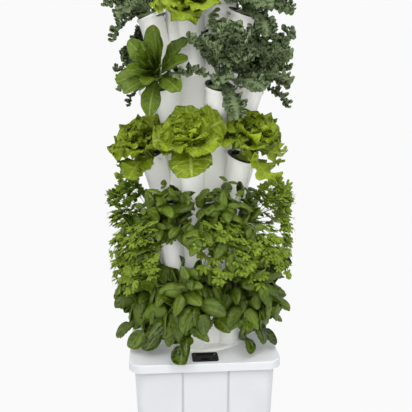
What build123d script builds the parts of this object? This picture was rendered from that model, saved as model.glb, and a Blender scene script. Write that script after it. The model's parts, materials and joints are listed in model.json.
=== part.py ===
from build123d import *
import os
from math import asin, atan2, cos, hypot, radians, sin, sqrt, tan

os.makedirs("parts", exist_ok=True)

# Reservoir tank and feet
TANK_HEIGHT = 374.0
TANK_DRAFT = 2.7
TANK_CORNER = 40.0
TANK_WALL = 5.0
TANK_FLOOR = 6.0
TANK_RIM = 7.0
TANK_RIM_THICKNESS = 5.0
PANEL_WIDTH = 136.0
PANEL_DEPTH = 2.5
PANEL_TOP_MARGIN = 24.0
PANEL_BOTTOM_MARGIN = 36.0
FOOT_RADIUS = 18.0
FOOT_HEIGHT = 8.0
FOOT_INSET = 50.0

# Reservoir lid
LID_OVERHANG = 15.0
LID_CORNER = 46.0
LID_PLATE = 5.0
LID_SKIRT = 25.0
LID_WALL = 4.0
LID_EDGE = 4.0
COLLAR_HEIGHT = 5.0
COLLAR_WALL = 4.0
COLLAR_CLEARANCE = 0.5

# Access port in the lid
PORT_WIDTH = 78.0
PORT_DEPTH = 60.0
PORT_CORNER = 8.0
PORT_SETBACK = 15.0
PORT_GAP = 9.0
PORT_FLANGE = 5.0
PORT_FLANGE_THICKNESS = 2.5
PORT_WALL = 2.7
PORT_LEDGE = 5.0
PORT_LEDGE_DROP = 3.0
PORT_LEDGE_THICKNESS = 2.0
PORT_FIT = 0.3
FLAP_THICKNESS = 4.0
FLAP_GAP = 0.5
FLAP_GRIP_WIDTH = 26.0
FLAP_GRIP_DEPTH = 4.0
FLAP_GRIP_HEIGHT = 2.5
HINGE_PIN_RADIUS = 1.2
HINGE_BARREL_RADIUS = 2.5
HINGE_CLEARANCE = 0.05

# Cable grommet in the lid
GROMMET_HOLE_RADIUS = 11.0
GROMMET_BORE_RADIUS = 5.0
GROMMET_FLANGE = 4.0
GROMMET_FLANGE_THICKNESS = 2.5
GROMMET_INSET = 62.0

# Tower tiers, each a hollow core with leaning pockets
TIERS = 5
POCKETS = 6
TIER_PITCH = 204.0
TIER_WALL = 3.0
CORE_RADIUS = 104.0
LOBE_REACH = 108.0
LOBE_RADIUS = 31.0
RIM_REACH = 155.0
RIM_HEIGHT = 177.0
RIM_TILT = 25.0
POCKET_RADIUS = 39.0
RIM_RADIUS = 43.0
RIM_DEPTH = 9.0
SPIGOT_DEPTH = 7.0
SPIGOT_FIT = 0.2
SPIGOT_SHOULDER = 6.0
TIER_ANGLE = -14.0
TIER_STAGGER = 30.0
TOWER_FOOT_LIP = 3.0
TOWER_FOOT_HEIGHT = 8.0

# Net cups and growing plugs
CUP_TOP_RADIUS = 33.0
CUP_BOTTOM_RADIUS = 22.0
CUP_DEPTH = 50.0
CUP_WALL = 1.8
CUP_FLANGE_RADIUS = 41.0
CUP_FLANGE = 2.0
CUP_SLOTS = 8
CUP_SLOT_WIDTH = 5.0
CUP_SLOT_MARGIN = 10.0
PLUG_FIT = 0.3
PLUG_RECESS = 6.0

# Top cap
CAP_OVERHANG = 3.0
CAP_EDGE = 8.0
CAP_DOME = 30.0
CAP_WALL = 3.0
CAP_SPIGOT = 16.0
CAP_FIT = 0.5

# Submersible pump, with its outlet on the tower's axis
PUMP_LENGTH = 104.0
PUMP_WIDTH = 76.0
PUMP_HEIGHT = 74.0
PUMP_EDGE = 8.0
CHAMBER_RADIUS = 25.0
CHAMBER_WIDTH = 26.0
PUMP_COVER = 8.0
PUMP_SLOT_WIDTH = 3.0
PUMP_SLOT_HEIGHT = 46.0
PUMP_SLOTS = 7
PUMP_SLOT_PITCH = 7.0
IMPELLER_RADIUS = 21.0
IMPELLER_HUB = 7.0
IMPELLER_WIDTH = 18.0
IMPELLER_BLADES = 6
IMPELLER_BLADE = 2.5
SHAFT_RADIUS = 3.0
SHAFT_SOCKET = 8.0
SHAFT_CLEARANCE = 0.05
OUTLET_HEIGHT = 24.0
OUTLET_WALL = 3.0
SUCTION_RADIUS = 11.0
SUCTION_HEIGHT = 10.0
SUCTION_INSET = 16.0

# Riser pipe inside the column
RISER_RADIUS = 12.5
RISER_WALL = 2.5
RISER_FIT = 0.05
COUPLER_LENGTH = 44.0
COUPLER_WALL = 3.0
TRAY_RADIUS = 70.0
TRAY_HEIGHT = 14.0
TRAY_WALL = 2.5
TRAY_BELOW_TOP = 60.0
TRAY_HOLES = 12
TRAY_HOLE_RADIUS = 3.0
TRAY_HUB_LENGTH = 20.0

# Plants: the room that each species fills, as half width, half height, distance out from the rim's
# centre and rise above it
PLANT_GAP = 1.0
CROWN_TILT = 12.0
CROWNS = {
    "kale": (92.0, 116.0, 52.0, 62.0),
    "romaine": (90.0, 112.0, 52.0, 44.0),
    "lettuce": (94.0, 98.0, 50.0, 48.0),
    "butterhead": (100.0, 100.0, 52.0, 50.0),
    "basil": (94.0, 98.0, 52.0, 36.0),
    "parsley": (98.0, 100.0, 58.0, 2.0),
    "trailing_basil": (98.0, 100.0, 52.0, -10.0),
}
# Stem and leaves: each leaf is a thin plate bent over its widest place, in whorls up the stem
STEM_RADIUS = 7.0
STEM_TOP = 5.0
LEAF_THICKNESS = 2.5
LEAF_ROOT = 4.0
LEAF_BASE = 3.5
LEAF_WIDEST = 0.58
LEAF_REACH = 0.94
BACK_RISE = 0.6
# Lean of each species' stem, and half width of its leaves as a share of their length
LEANS = {
    "kale": (30.0, 0.26),
    "romaine": (48.0, 0.27),
    "lettuce": (40.0, 0.34),
    "butterhead": (50.0, 0.38),
    "basil": (20.0, 0.21),
    "parsley": (30.0, 0.13),
    "trailing_basil": (30.0, 0.24),
}
# Whorls up the stem: leaves, rise of their tips above level, height of their roots, and arch of a leaf over
# its chord as a share of its length
WHORLS = {
    "kale": ((6, 14.0, 10.0, 0.20), (4, 60.0, 20.0, 0.08)),
    "romaine": ((6, 6.0, 10.0, 0.16), (4, 54.0, 20.0, 0.08)),
    "lettuce": ((5, 14.0, 10.0, 0.18), (4, 58.0, 20.0, 0.08)),
    "butterhead": ((5, 10.0, 10.0, 0.18), (4, 54.0, 20.0, 0.08)),
    "basil": ((5, -4.0, 12.0, 0.22), (5, 30.0, 42.0, 0.14), (4, 66.0, 72.0, 0.08)),
    "parsley": ((7, -24.0, 10.0, 0.36), (7, 4.0, 22.0, 0.22), (5, 50.0, 34.0, 0.12)),
    "trailing_basil": ((5, -24.0, 10.0, 0.36), (5, 10.0, 24.0, 0.20), (4, 60.0, 38.0, 0.08)),
}
# Species round each tier, from the bottom tier up, starting at the tier's first pocket
PLANTING = (
    ("trailing_basil",) * POCKETS,
    ("basil", "basil", "parsley", "basil", "basil", "parsley"),
    ("lettuce", "butterhead", "lettuce", "lettuce", "butterhead", "lettuce"),
    ("romaine", "kale", "kale", "romaine", "kale", "kale"),
    ("kale", "lettuce", "kale", "kale", "lettuce", "kale"),
)
# Pocket names, in the same order; pockets without a name of their own share the rear group
POCKET_NAMES = (
    ("left", "front", "right"),
    ("front_left", "front_right", "right", None, None, "left"),
)

# Levels and radii that follow from the sizes above
tank_bottom_z = FOOT_HEIGHT
tank_floor_z = tank_bottom_z + TANK_FLOOR
tank_top_z = tank_bottom_z + TANK_HEIGHT
lid_top_z = tank_top_z + LID_PLATE
tower_z = lid_top_z + TOWER_FOOT_HEIGHT
tower_top_z = tower_z + TIERS * TIER_PITCH
core_bore = CORE_RADIUS - TIER_WALL
spigot_radius = core_bore - SPIGOT_FIT
spigot_bore = spigot_radius - TIER_WALL
collar_radius = spigot_bore - COLLAR_CLEARANCE
return_hole = collar_radius - COLLAR_WALL
tower_foot_radius = LOBE_REACH + LOBE_RADIUS + TOWER_FOOT_LIP
lid_width = 2 * (tower_foot_radius + PORT_GAP + PORT_DEPTH + PORT_SETBACK)
tank_top_width = lid_width - 2 * LID_OVERHANG
leg_length = hypot(RIM_REACH - LOBE_REACH, RIM_HEIGHT)
leg_lean = atan2(RIM_REACH - LOBE_REACH, RIM_HEIGHT)
rim_tilt = radians(RIM_TILT)
pocket_step = 360 / POCKETS

up_align = (Align.CENTER, Align.CENTER, Align.MIN)
down_align = (Align.CENTER, Align.CENTER, Align.MAX)
leg_plane = Plane(
    origin=(LOBE_REACH, 0, 0),
    x_dir=(cos(leg_lean), 0, -sin(leg_lean)),
    z_dir=(sin(leg_lean), 0, cos(leg_lean)),
)
rim_plane = Plane(
    origin=(RIM_REACH, 0, RIM_HEIGHT),
    x_dir=(cos(rim_tilt), 0, -sin(rim_tilt)),
    z_dir=(sin(rim_tilt), 0, cos(rim_tilt)),
)


def save(piece, name):
    """Label a finished piece and write it under its name."""
    piece.part.label = name
    export_step(piece.part, f"parts/{name}.step")


def tier_place(tier):
    """Place of a tier, counted from 0 at the bottom; its first pocket faces its own angle."""
    turn = TIER_ANGLE - 90 - pocket_step + TIER_STAGGER * (tier % 2)
    return Location((0, 0, tower_z + tier * TIER_PITCH), (0, 0, turn))


# Reservoir tank: a drafted tub with a rim and one shallow panel in each side
panel_height = TANK_HEIGHT - PANEL_TOP_MARGIN - PANEL_BOTTOM_MARGIN
panel_z = tank_bottom_z + PANEL_BOTTOM_MARGIN + panel_height / 2
panel_y = tank_top_width / 2 - (tank_top_z - panel_z) * tan(radians(TANK_DRAFT))
tank_inner_width = tank_top_width - 2 * TANK_WALL
tank_rim_width = tank_top_width + 2 * TANK_RIM
with BuildPart() as reservoir_tank:
    with BuildSketch(Plane.XY.offset(tank_top_z)):
        RectangleRounded(tank_top_width, tank_top_width, TANK_CORNER)
    extrude(amount=-TANK_HEIGHT, taper=TANK_DRAFT)
    with PolarLocations(0, 4):
        with Locations(Location((0, -panel_y, panel_z), (TANK_DRAFT, 0, 0))):
            Box(PANEL_WIDTH, 2 * PANEL_DEPTH, panel_height, mode=Mode.SUBTRACT)
    with BuildSketch(Plane.XY.offset(tank_top_z)):
        RectangleRounded(tank_rim_width, tank_rim_width, TANK_CORNER + TANK_RIM)
    extrude(amount=-TANK_RIM_THICKNESS)
    with BuildSketch(Plane.XY.offset(tank_top_z)):
        RectangleRounded(tank_inner_width, tank_inner_width, TANK_CORNER - TANK_WALL)
    extrude(amount=TANK_FLOOR - TANK_HEIGHT, taper=TANK_DRAFT, mode=Mode.SUBTRACT)
save(reservoir_tank, "reservoir_tank")

# Four rubber feet under the tank's corners
tank_bottom_width = tank_top_width - 2 * TANK_HEIGHT * tan(radians(TANK_DRAFT))
foot_spacing = tank_bottom_width - 2 * FOOT_INSET
with BuildPart() as tank_feet:
    with GridLocations(foot_spacing, foot_spacing, 2, 2):
        Cylinder(FOOT_RADIUS, FOOT_HEIGHT, align=up_align)
save(tank_feet, "tank_feet")

# Lid: a plate with a skirt, the collar that the tower turns on, and two holes
port_y = -(lid_width / 2 - PORT_SETBACK - PORT_DEPTH / 2)
port_hole_width = PORT_WIDTH - 2 * PORT_FLANGE
port_hole_depth = PORT_DEPTH - 2 * PORT_FLANGE
port_hole_corner = PORT_CORNER - PORT_FLANGE / 2
grommet_place = lid_width / 2 - GROMMET_INSET
with BuildPart() as reservoir_lid:
    with BuildSketch(Plane.XY.offset(lid_top_z)):
        RectangleRounded(lid_width, lid_width, LID_CORNER)
    extrude(amount=-LID_SKIRT)
    fillet(reservoir_lid.faces().sort_by(Axis.Z)[-1].edges(), LID_EDGE)
    with BuildSketch(Plane.XY.offset(tank_top_z)):
        RectangleRounded(lid_width - 2 * LID_WALL, lid_width - 2 * LID_WALL, LID_CORNER - LID_WALL)
    extrude(amount=-LID_SKIRT, mode=Mode.SUBTRACT)
    with BuildSketch(Plane.XY.offset(lid_top_z)):
        Circle(collar_radius)
    extrude(amount=COLLAR_HEIGHT)
    with BuildSketch(Plane.XY.offset(tank_top_z)):
        Circle(return_hole)
        with Locations((0, port_y)):
            RectangleRounded(port_hole_width, port_hole_depth, port_hole_corner)
        with Locations((grommet_place, grommet_place)):
            Circle(GROMMET_HOLE_RADIUS)
    extrude(amount=LID_PLATE + COLLAR_HEIGHT, mode=Mode.SUBTRACT)
save(reservoir_lid, "reservoir_lid")

# Rubber grommet where the pump's cable passes the lid
grommet_flange_radius = GROMMET_HOLE_RADIUS + GROMMET_FLANGE
grommet_length = LID_PLATE + 2 * GROMMET_FLANGE_THICKNESS
with BuildPart() as cord_grommet:
    with Locations((grommet_place, grommet_place, tank_top_z - GROMMET_FLANGE_THICKNESS)):
        Cylinder(GROMMET_HOLE_RADIUS, grommet_length, align=up_align)
        Cylinder(grommet_flange_radius, GROMMET_FLANGE_THICKNESS, align=up_align)
    with Locations((grommet_place, grommet_place, lid_top_z)):
        Cylinder(grommet_flange_radius, GROMMET_FLANGE_THICKNESS, align=up_align)
    with Locations((grommet_place, grommet_place, tank_top_z - GROMMET_FLANGE_THICKNESS)):
        Cylinder(GROMMET_BORE_RADIUS, grommet_length, align=up_align, mode=Mode.SUBTRACT)
save(cord_grommet, "cord_grommet")

# Port bezel: a black frame with a ledge that the flap rests on
neck_width = port_hole_width - 2 * PORT_FIT
neck_depth = port_hole_depth - 2 * PORT_FIT
well_width = neck_width - 2 * PORT_WALL
well_depth = neck_depth - 2 * PORT_WALL
ledge_z = lid_top_z - PORT_LEDGE_DROP
neck_bottom_z = ledge_z - PORT_LEDGE_THICKNESS
hinge_y = port_y + well_depth / 2 - HINGE_BARREL_RADIUS - FLAP_GAP
hinge_z = ledge_z + HINGE_BARREL_RADIUS + FLAP_GAP
well_corner = port_hole_corner - PORT_WALL
with BuildPart() as port_bezel:
    with BuildSketch(Plane.XY.offset(lid_top_z)):
        with Locations((0, port_y)):
            RectangleRounded(PORT_WIDTH, PORT_DEPTH, PORT_CORNER)
    extrude(amount=PORT_FLANGE_THICKNESS)
    with BuildSketch(Plane.XY.offset(neck_bottom_z)):
        with Locations((0, port_y)):
            RectangleRounded(neck_width, neck_depth, port_hole_corner)
    extrude(amount=lid_top_z - neck_bottom_z)
    with BuildSketch(Plane.XY.offset(ledge_z)):
        with Locations((0, port_y)):
            RectangleRounded(well_width, well_depth, well_corner)
    extrude(amount=PORT_LEDGE_DROP + PORT_FLANGE_THICKNESS, mode=Mode.SUBTRACT)
    with BuildSketch(Plane.XY.offset(neck_bottom_z)):
        with Locations((0, port_y)):
            RectangleRounded(well_width - 2 * PORT_LEDGE, well_depth - 2 * PORT_LEDGE, well_corner)
    extrude(amount=PORT_LEDGE_THICKNESS, mode=Mode.SUBTRACT)
    with Locations(Location((0, hinge_y, hinge_z), (0, 90, 0))):
        Cylinder(HINGE_PIN_RADIUS, neck_width, mode=Mode.SUBTRACT)
save(port_bezel, "port_bezel")

# Hinge pin, held in the bezel's side walls
with BuildPart() as flap_hinge_pin:
    with Locations(Location((0, hinge_y, hinge_z), (0, 90, 0))):
        Cylinder(HINGE_PIN_RADIUS, neck_width)
save(flap_hinge_pin, "flap_hinge_pin")

# Port flap: a plate with a barrel at the back and a finger grip at the front
flap_width = well_width - 2 * FLAP_GAP
flap_front_y = port_y - well_depth / 2 + FLAP_GAP
flap_depth = hinge_y - flap_front_y
barrel_width = flap_width - 2 * well_corner
web_depth = 2 * HINGE_BARREL_RADIUS + FLAP_GAP
with BuildPart() as port_flap:
    with Locations((0, flap_front_y + flap_depth / 2, ledge_z)):
        Box(flap_width, flap_depth, FLAP_THICKNESS, align=up_align)
    fillet(port_flap.edges().filter_by(Axis.Z).group_by(Axis.Y)[0], well_corner)
    with Locations((0, flap_front_y + 2 * FLAP_GRIP_DEPTH, ledge_z + FLAP_THICKNESS)):
        Box(FLAP_GRIP_WIDTH, FLAP_GRIP_DEPTH, FLAP_GRIP_HEIGHT, align=up_align)
    with Locations(Location((0, hinge_y, hinge_z), (0, 90, 0))):
        Cylinder(2 * HINGE_BARREL_RADIUS, flap_width, mode=Mode.SUBTRACT)
        Cylinder(HINGE_BARREL_RADIUS, barrel_width)
    with Locations((0, hinge_y - web_depth / 2, hinge_z)):
        Box(barrel_width, web_depth, HINGE_BARREL_RADIUS)
    with Locations(Location((0, hinge_y, hinge_z), (0, 90, 0))):
        Cylinder(HINGE_PIN_RADIUS + HINGE_CLEARANCE, barrel_width, mode=Mode.SUBTRACT)
save(port_flap, "port_flap")

# Tower foot: a plain ring that carries the lowest tier on the lid
with BuildPart() as tower_foot:
    with BuildSketch(Plane.XY.offset(lid_top_z)):
        Circle(tower_foot_radius)
        Circle(core_bore, mode=Mode.SUBTRACT)
    extrude(amount=TOWER_FOOT_HEIGHT)
    chamfer(tower_foot.edges().filter_by(GeomType.CIRCLE).group_by(Axis.Z)[-1].sort_by(SortBy.LENGTH)[-1], 2)
save(tower_foot, "tower_foot")


def pocket_cone(inset, overrun):
    """Cone of a pocket's leg about its leaning axis, run on past both ends."""
    slope = (POCKET_RADIUS - LOBE_RADIUS) / leg_length
    with BuildPart() as cone:
        with Locations(leg_plane.offset(-overrun)):
            Cone(
                LOBE_RADIUS - inset - slope * overrun,
                POCKET_RADIUS - inset + slope * overrun,
                leg_length + 2 * overrun,
                align=up_align,
            )
    return cone.part


leg_overrun = POCKET_RADIUS
# One pocket's outer form: the leaning leg, cut flat at the bottom and tilted at the rim
with BuildPart() as pocket_skin:
    add(pocket_cone(0, leg_overrun))
    split(bisect_by=Plane.XY, keep=Keep.TOP)
    split(bisect_by=rim_plane, keep=Keep.BOTTOM)
    with Locations(rim_plane):
        Cylinder(RIM_RADIUS, RIM_DEPTH, align=down_align)

# Its hollow, which opens into the core low down and through the rim
with BuildPart() as pocket_hollow:
    add(pocket_cone(TIER_WALL, leg_overrun))
    split(bisect_by=Plane.XY.offset(TIER_WALL), keep=Keep.TOP)

# One tier: the core, its pockets and the spigot that enters the piece below
with BuildPart() as tier_shell:
    Cylinder(CORE_RADIUS, TIER_PITCH, align=up_align)
    with PolarLocations(0, POCKETS):
        add(pocket_skin.part)
    Cylinder(core_bore, TIER_PITCH, align=up_align, mode=Mode.SUBTRACT)
    with PolarLocations(0, POCKETS):
        add(pocket_hollow.part, mode=Mode.SUBTRACT)
    with BuildSketch(Plane.XY):
        Circle(core_bore)
        Circle(spigot_bore, mode=Mode.SUBTRACT)
    extrude(amount=SPIGOT_SHOULDER)
    with BuildSketch(Plane.XY):
        Circle(spigot_radius)
        Circle(spigot_bore, mode=Mode.SUBTRACT)
    extrude(amount=-SPIGOT_DEPTH)

# One net cup, with its flange on the rim and slots down its side
with BuildPart() as net_cup:
    Cone(CUP_BOTTOM_RADIUS, CUP_TOP_RADIUS, CUP_DEPTH, align=down_align)
    Cylinder(CUP_FLANGE_RADIUS, CUP_FLANGE, align=up_align)
    cup_slope = (CUP_TOP_RADIUS - CUP_BOTTOM_RADIUS) / CUP_DEPTH
    with Locations((0, 0, CUP_WALL - CUP_DEPTH)):
        Cone(
            CUP_BOTTOM_RADIUS - CUP_WALL + cup_slope * CUP_WALL,
            CUP_TOP_RADIUS - CUP_WALL + cup_slope * CUP_FLANGE,
            CUP_DEPTH - CUP_WALL + CUP_FLANGE,
            align=up_align,
            mode=Mode.SUBTRACT,
        )
    cup_slot_height = CUP_DEPTH - 2 * CUP_SLOT_MARGIN
    with PolarLocations((CUP_TOP_RADIUS + CUP_BOTTOM_RADIUS) / 2, CUP_SLOTS):
        with Locations((0, 0, -CUP_DEPTH / 2)):
            Box(CUP_SLOT_MARGIN, CUP_SLOT_WIDTH, cup_slot_height, mode=Mode.SUBTRACT)

# One growing plug, filling the cup to a little below its flange
plug_height = CUP_DEPTH - CUP_WALL - PLUG_RECESS
plug_bottom_radius = CUP_BOTTOM_RADIUS - CUP_WALL + cup_slope * CUP_WALL - PLUG_FIT
with BuildPart() as grow_plug:
    with Locations((0, 0, CUP_WALL - CUP_DEPTH)):
        Cone(plug_bottom_radius, plug_bottom_radius + cup_slope * plug_height, plug_height, align=up_align)

# Room that one pocket and its cup take up, a little larger than they are
rim_room = RIM_DEPTH + CUP_FLANGE + 2 * PLANT_GAP
with BuildPart() as pocket_room:
    add(pocket_cone(-PLANT_GAP, leg_overrun))
    split(bisect_by=Plane.XY.offset(-PLANT_GAP), keep=Keep.TOP)
    split(bisect_by=rim_plane, keep=Keep.BOTTOM)
    with Locations(rim_plane.offset(CUP_FLANGE + PLANT_GAP)):
        Cylinder(RIM_RADIUS + PLANT_GAP, rim_room, align=down_align)

# Room of the pockets on either side and of the core, with the tier above or the cap
with BuildPart() as cap_room:
    Cylinder(CORE_RADIUS + CAP_OVERHANG + PLANT_GAP, 3 * TIER_PITCH)
    for step in (-pocket_step, 0, pocket_step):
        add(pocket_room.part, rotation=(0, 0, step))
with BuildPart() as tier_room:
    Cylinder(CORE_RADIUS + PLANT_GAP, 3 * TIER_PITCH)
    for step in (-pocket_step, 0, pocket_step):
        add(pocket_room.part, rotation=(0, 0, step))
    with Locations((0, 0, TIER_PITCH)):
        for step in (-TIER_STAGGER, TIER_STAGGER):
            add(pocket_room.part, rotation=(0, 0, step))


def leaf_blade(length, half_width, arch):
    """One leaf along +X: a thin plate bent over its widest place and cut to a pointed oval."""
    widest = LEAF_WIDEST * length
    with BuildPart() as blade:
        with BuildSketch(Plane.XZ):
            with BuildLine():
                Polyline(
                    (LEAF_ROOT, 0),
                    (widest, arch),
                    (length, 0),
                    (length, LEAF_THICKNESS),
                    (widest, arch + LEAF_THICKNESS),
                    (LEAF_ROOT, LEAF_THICKNESS),
                    close=True,
                )
            make_face()
        extrude(amount=half_width + LEAF_BASE, both=True)
        with BuildSketch(Plane.XY.offset(-length)):
            with BuildLine():
                Line((LEAF_ROOT, LEAF_BASE), (LEAF_ROOT, -LEAF_BASE))
                ThreePointArc((LEAF_ROOT, -LEAF_BASE), (widest, -half_width), (length, 0))
                ThreePointArc((length, 0), (widest, half_width), (LEAF_ROOT, LEAF_BASE))
            make_face()
        extrude(amount=2 * length, mode=Mode.INTERSECT)
    return blade.part


def leaf_length(species, root, way):
    """Length of a leaf from its root to near the edge of its plant's egg-shaped room."""
    half_width, half_height, out, rise = CROWNS[species]
    tilt = radians(CROWN_TILT)
    axis = Vector(sin(tilt), 0, cos(tilt))
    start = root - Vector(RIM_REACH + out, 0, RIM_HEIGHT + rise)
    stretch = 1 / half_height**2 - 1 / half_width**2
    square = 1 / half_width**2 + stretch * way.dot(axis) ** 2
    slope = start.dot(way) / half_width**2 + stretch * start.dot(axis) * way.dot(axis)
    rest = start.dot(start) / half_width**2 + stretch * start.dot(axis) ** 2 - 1
    return LEAF_REACH * (sqrt(slope**2 - square * rest) - slope) / square


def plant_crown(species, room):
    """One plant: whorls of leaves up a short stem, clear of the room of the pieces around it."""
    lean, width = LEANS[species]
    lean = radians(lean)
    plug_plane = rim_plane.offset(-PLUG_RECESS)
    plant_plane = Plane(plug_plane.origin, x_dir=(cos(lean), 0, -sin(lean)), z_dir=(sin(lean), 0, cos(lean)))
    blades = []
    for number, (leaves, level_rise, root_height, arch) in enumerate(WHORLS[species]):
        root = plant_plane.origin + plant_plane.z_dir * root_height
        for leaf in range(leaves):
            turn = radians((leaf + number / 2) * 360 / leaves)
            rise = radians(level_rise + BACK_RISE * (90 - level_rise) * max(0, -cos(turn)))
            flat = plant_plane.x_dir * cos(turn) + plant_plane.y_dir * sin(turn)
            way = flat * cos(rise) + plant_plane.z_dir * sin(rise)
            face = plant_plane.z_dir * cos(rise) - flat * sin(rise)
            length = leaf_length(species, root, way)
            blade = leaf_blade(length, width * length, arch * length)
            blades.append(Plane(root, x_dir=way, z_dir=face).location * blade)
    stem_height = STEM_RADIUS + root_height + STEM_TOP
    with BuildPart() as stem:
        with Locations(plant_plane.offset(-STEM_RADIUS)):
            Cylinder(STEM_RADIUS, stem_height, align=up_align)
        split(bisect_by=plug_plane, keep=Keep.TOP)
    with BuildPart() as crown:
        add(blades)
        add(room, mode=Mode.SUBTRACT)
        add(stem.part)
    return crown.part.solids().sort_by(SortBy.VOLUME)[-1]


tier_names = [f"tier_{tier + 1}" for tier in range(TIERS)]
top_crowns = {species: plant_crown(species, cap_room.part) for species in set(PLANTING[-1])}
lower_species = {species for row in PLANTING[:-1] for species in row}
crowns = {species: plant_crown(species, tier_room.part) for species in lower_species}

for tier, tier_name in enumerate(tier_names):
    place = tier_place(tier)
    with BuildPart() as tower_tier:
        with Locations(place):
            add(tier_shell.part)
    save(tower_tier, f"tower_{tier_name}")
    with BuildPart() as net_cups:
        with Locations(place):
            with PolarLocations(0, POCKETS):
                with Locations(rim_plane):
                    add(net_cup.part)
    save(net_cups, f"net_cups_{tier_name}")
    with BuildPart() as grow_plugs:
        with Locations(place):
            with PolarLocations(0, POCKETS):
                with Locations(rim_plane):
                    add(grow_plug.part)
    save(grow_plugs, f"grow_plugs_{tier_name}")

    # Plants of the tier: each one seen from the front has a name, and the rear ones share a node
    forms = top_crowns if tier == TIERS - 1 else crowns
    names = POCKET_NAMES[tier % 2]
    rear = []
    for pocket, species in enumerate(PLANTING[tier]):
        turn = Location((0, 0, 0), (0, 0, pocket * pocket_step))
        name = names[pocket] if pocket < len(names) else None
        if name is None:
            rear.append(turn * forms[species])
            continue
        with BuildPart() as plant:
            with Locations(place):
                add(turn * forms[species])
        save(plant, f"{species}_{tier_name}_{name}")
    with BuildPart() as rear_plants:
        with Locations(place):
            add(rear)
    save(rear_plants, f"rear_plants_{tier_name}")

# Top cap: a shallow dome with a spigot inside the top tier
cap_radius = CORE_RADIUS + CAP_OVERHANG
cap_spigot_radius = core_bore - CAP_FIT
dome_radius = (cap_radius**2 + CAP_DOME**2) / (2 * CAP_DOME)
dome_half_angle = asin(cap_radius / dome_radius) / 2
dome_top_z = tower_top_z + CAP_EDGE + CAP_DOME
dome_middle = (dome_radius * sin(dome_half_angle), dome_top_z - dome_radius * (1 - cos(dome_half_angle)))
with BuildPart() as top_cap:
    with BuildSketch(Plane.XZ):
        with BuildLine():
            rim_top = (cap_radius, tower_top_z + CAP_EDGE)
            Line((0, tower_top_z), (cap_radius, tower_top_z))
            Line((cap_radius, tower_top_z), rim_top)
            ThreePointArc(rim_top, dome_middle, (0, dome_top_z))
            Line((0, dome_top_z), (0, tower_top_z))
        make_face()
    revolve(axis=Axis.Z)
    with BuildSketch(Plane.XY.offset(tower_top_z)):
        Circle(cap_spigot_radius)
    extrude(amount=-CAP_SPIGOT)
    with BuildSketch(Plane.XY.offset(tower_top_z - CAP_SPIGOT)):
        Circle(cap_spigot_radius - CAP_WALL)
    extrude(amount=CAP_SPIGOT + CAP_EDGE - CAP_WALL, mode=Mode.SUBTRACT)
save(top_cap, "top_cap")

# Pump: motor block and impeller chamber, standing on suction feet on the tank floor
pump_bottom_z = tank_floor_z + SUCTION_HEIGHT
pump_axis_z = pump_bottom_z + PUMP_HEIGHT / 2
chamber_half = CHAMBER_WIDTH / 2
pump_top_z = pump_bottom_z + PUMP_HEIGHT
outlet_radius = RISER_RADIUS + RISER_FIT + OUTLET_WALL
pump_back_x = chamber_half - PUMP_LENGTH
shaft_start_x = -chamber_half - SHAFT_SOCKET
with BuildPart() as pump_body:
    with Locations(((chamber_half + pump_back_x) / 2, 0, pump_bottom_z)):
        Box(PUMP_LENGTH, PUMP_WIDTH, PUMP_HEIGHT, align=up_align)
    fillet(pump_body.edges().filter_by(Axis.X), PUMP_EDGE)
    with Locations((0, 0, pump_top_z)):
        Cylinder(outlet_radius, OUTLET_HEIGHT, align=up_align)
        Cylinder(RISER_RADIUS + RISER_FIT, OUTLET_HEIGHT, align=up_align, mode=Mode.SUBTRACT)
    with Locations((0, 0, pump_axis_z)):
        riser_bore = RISER_RADIUS - RISER_WALL
        Cylinder(riser_bore, PUMP_HEIGHT / 2 + OUTLET_HEIGHT, align=up_align, mode=Mode.SUBTRACT)
    with Locations(Location((-chamber_half, 0, pump_axis_z), (0, 90, 0))):
        Cylinder(CHAMBER_RADIUS, CHAMBER_WIDTH, align=up_align, mode=Mode.SUBTRACT)
    with Locations(Location((shaft_start_x, 0, pump_axis_z), (0, 90, 0))):
        Cylinder(SHAFT_RADIUS, SHAFT_SOCKET, align=up_align, mode=Mode.SUBTRACT)
save(pump_body, "pump_body")

# Pump cover: a slotted plate that closes the chamber and holds the shaft's end
with BuildPart() as pump_cover:
    with Locations((chamber_half + PUMP_COVER / 2, 0, pump_bottom_z)):
        Box(PUMP_COVER, PUMP_WIDTH, PUMP_HEIGHT, align=up_align)
    fillet(pump_cover.edges().filter_by(Axis.X), PUMP_EDGE)
    with Locations((chamber_half + PUMP_COVER / 2, 0, pump_axis_z)):
        with GridLocations(1, 2 * PUMP_SLOT_PITCH, 1, PUMP_SLOTS // 2):
            Box(PUMP_COVER, PUMP_SLOT_WIDTH, PUMP_SLOT_HEIGHT, mode=Mode.SUBTRACT)
    with Locations(Location((chamber_half, 0, pump_axis_z), (0, 90, 0))):
        Cylinder(2 * SHAFT_RADIUS, PUMP_COVER, align=up_align)
        Cylinder(SHAFT_RADIUS, PUMP_COVER / 2, align=up_align, mode=Mode.SUBTRACT)
save(pump_cover, "pump_cover")

# Ceramic shaft and the impeller that turns on it
shaft_length = SHAFT_SOCKET + CHAMBER_WIDTH + PUMP_COVER / 2
with BuildPart() as impeller_shaft:
    with Locations(Location((shaft_start_x, 0, pump_axis_z), (0, 90, 0))):
        Cylinder(SHAFT_RADIUS, shaft_length, align=up_align)
save(impeller_shaft, "impeller_shaft")

with BuildPart() as pump_impeller:
    with Locations(Location((0, 0, pump_axis_z), (0, 90, 0))):
        Cylinder(IMPELLER_HUB, IMPELLER_WIDTH)
        with PolarLocations(IMPELLER_RADIUS / 2, IMPELLER_BLADES):
            Box(IMPELLER_RADIUS, IMPELLER_BLADE, IMPELLER_WIDTH)
        Cylinder(SHAFT_RADIUS + SHAFT_CLEARANCE, IMPELLER_WIDTH, mode=Mode.SUBTRACT)
save(pump_impeller, "pump_impeller")

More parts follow.
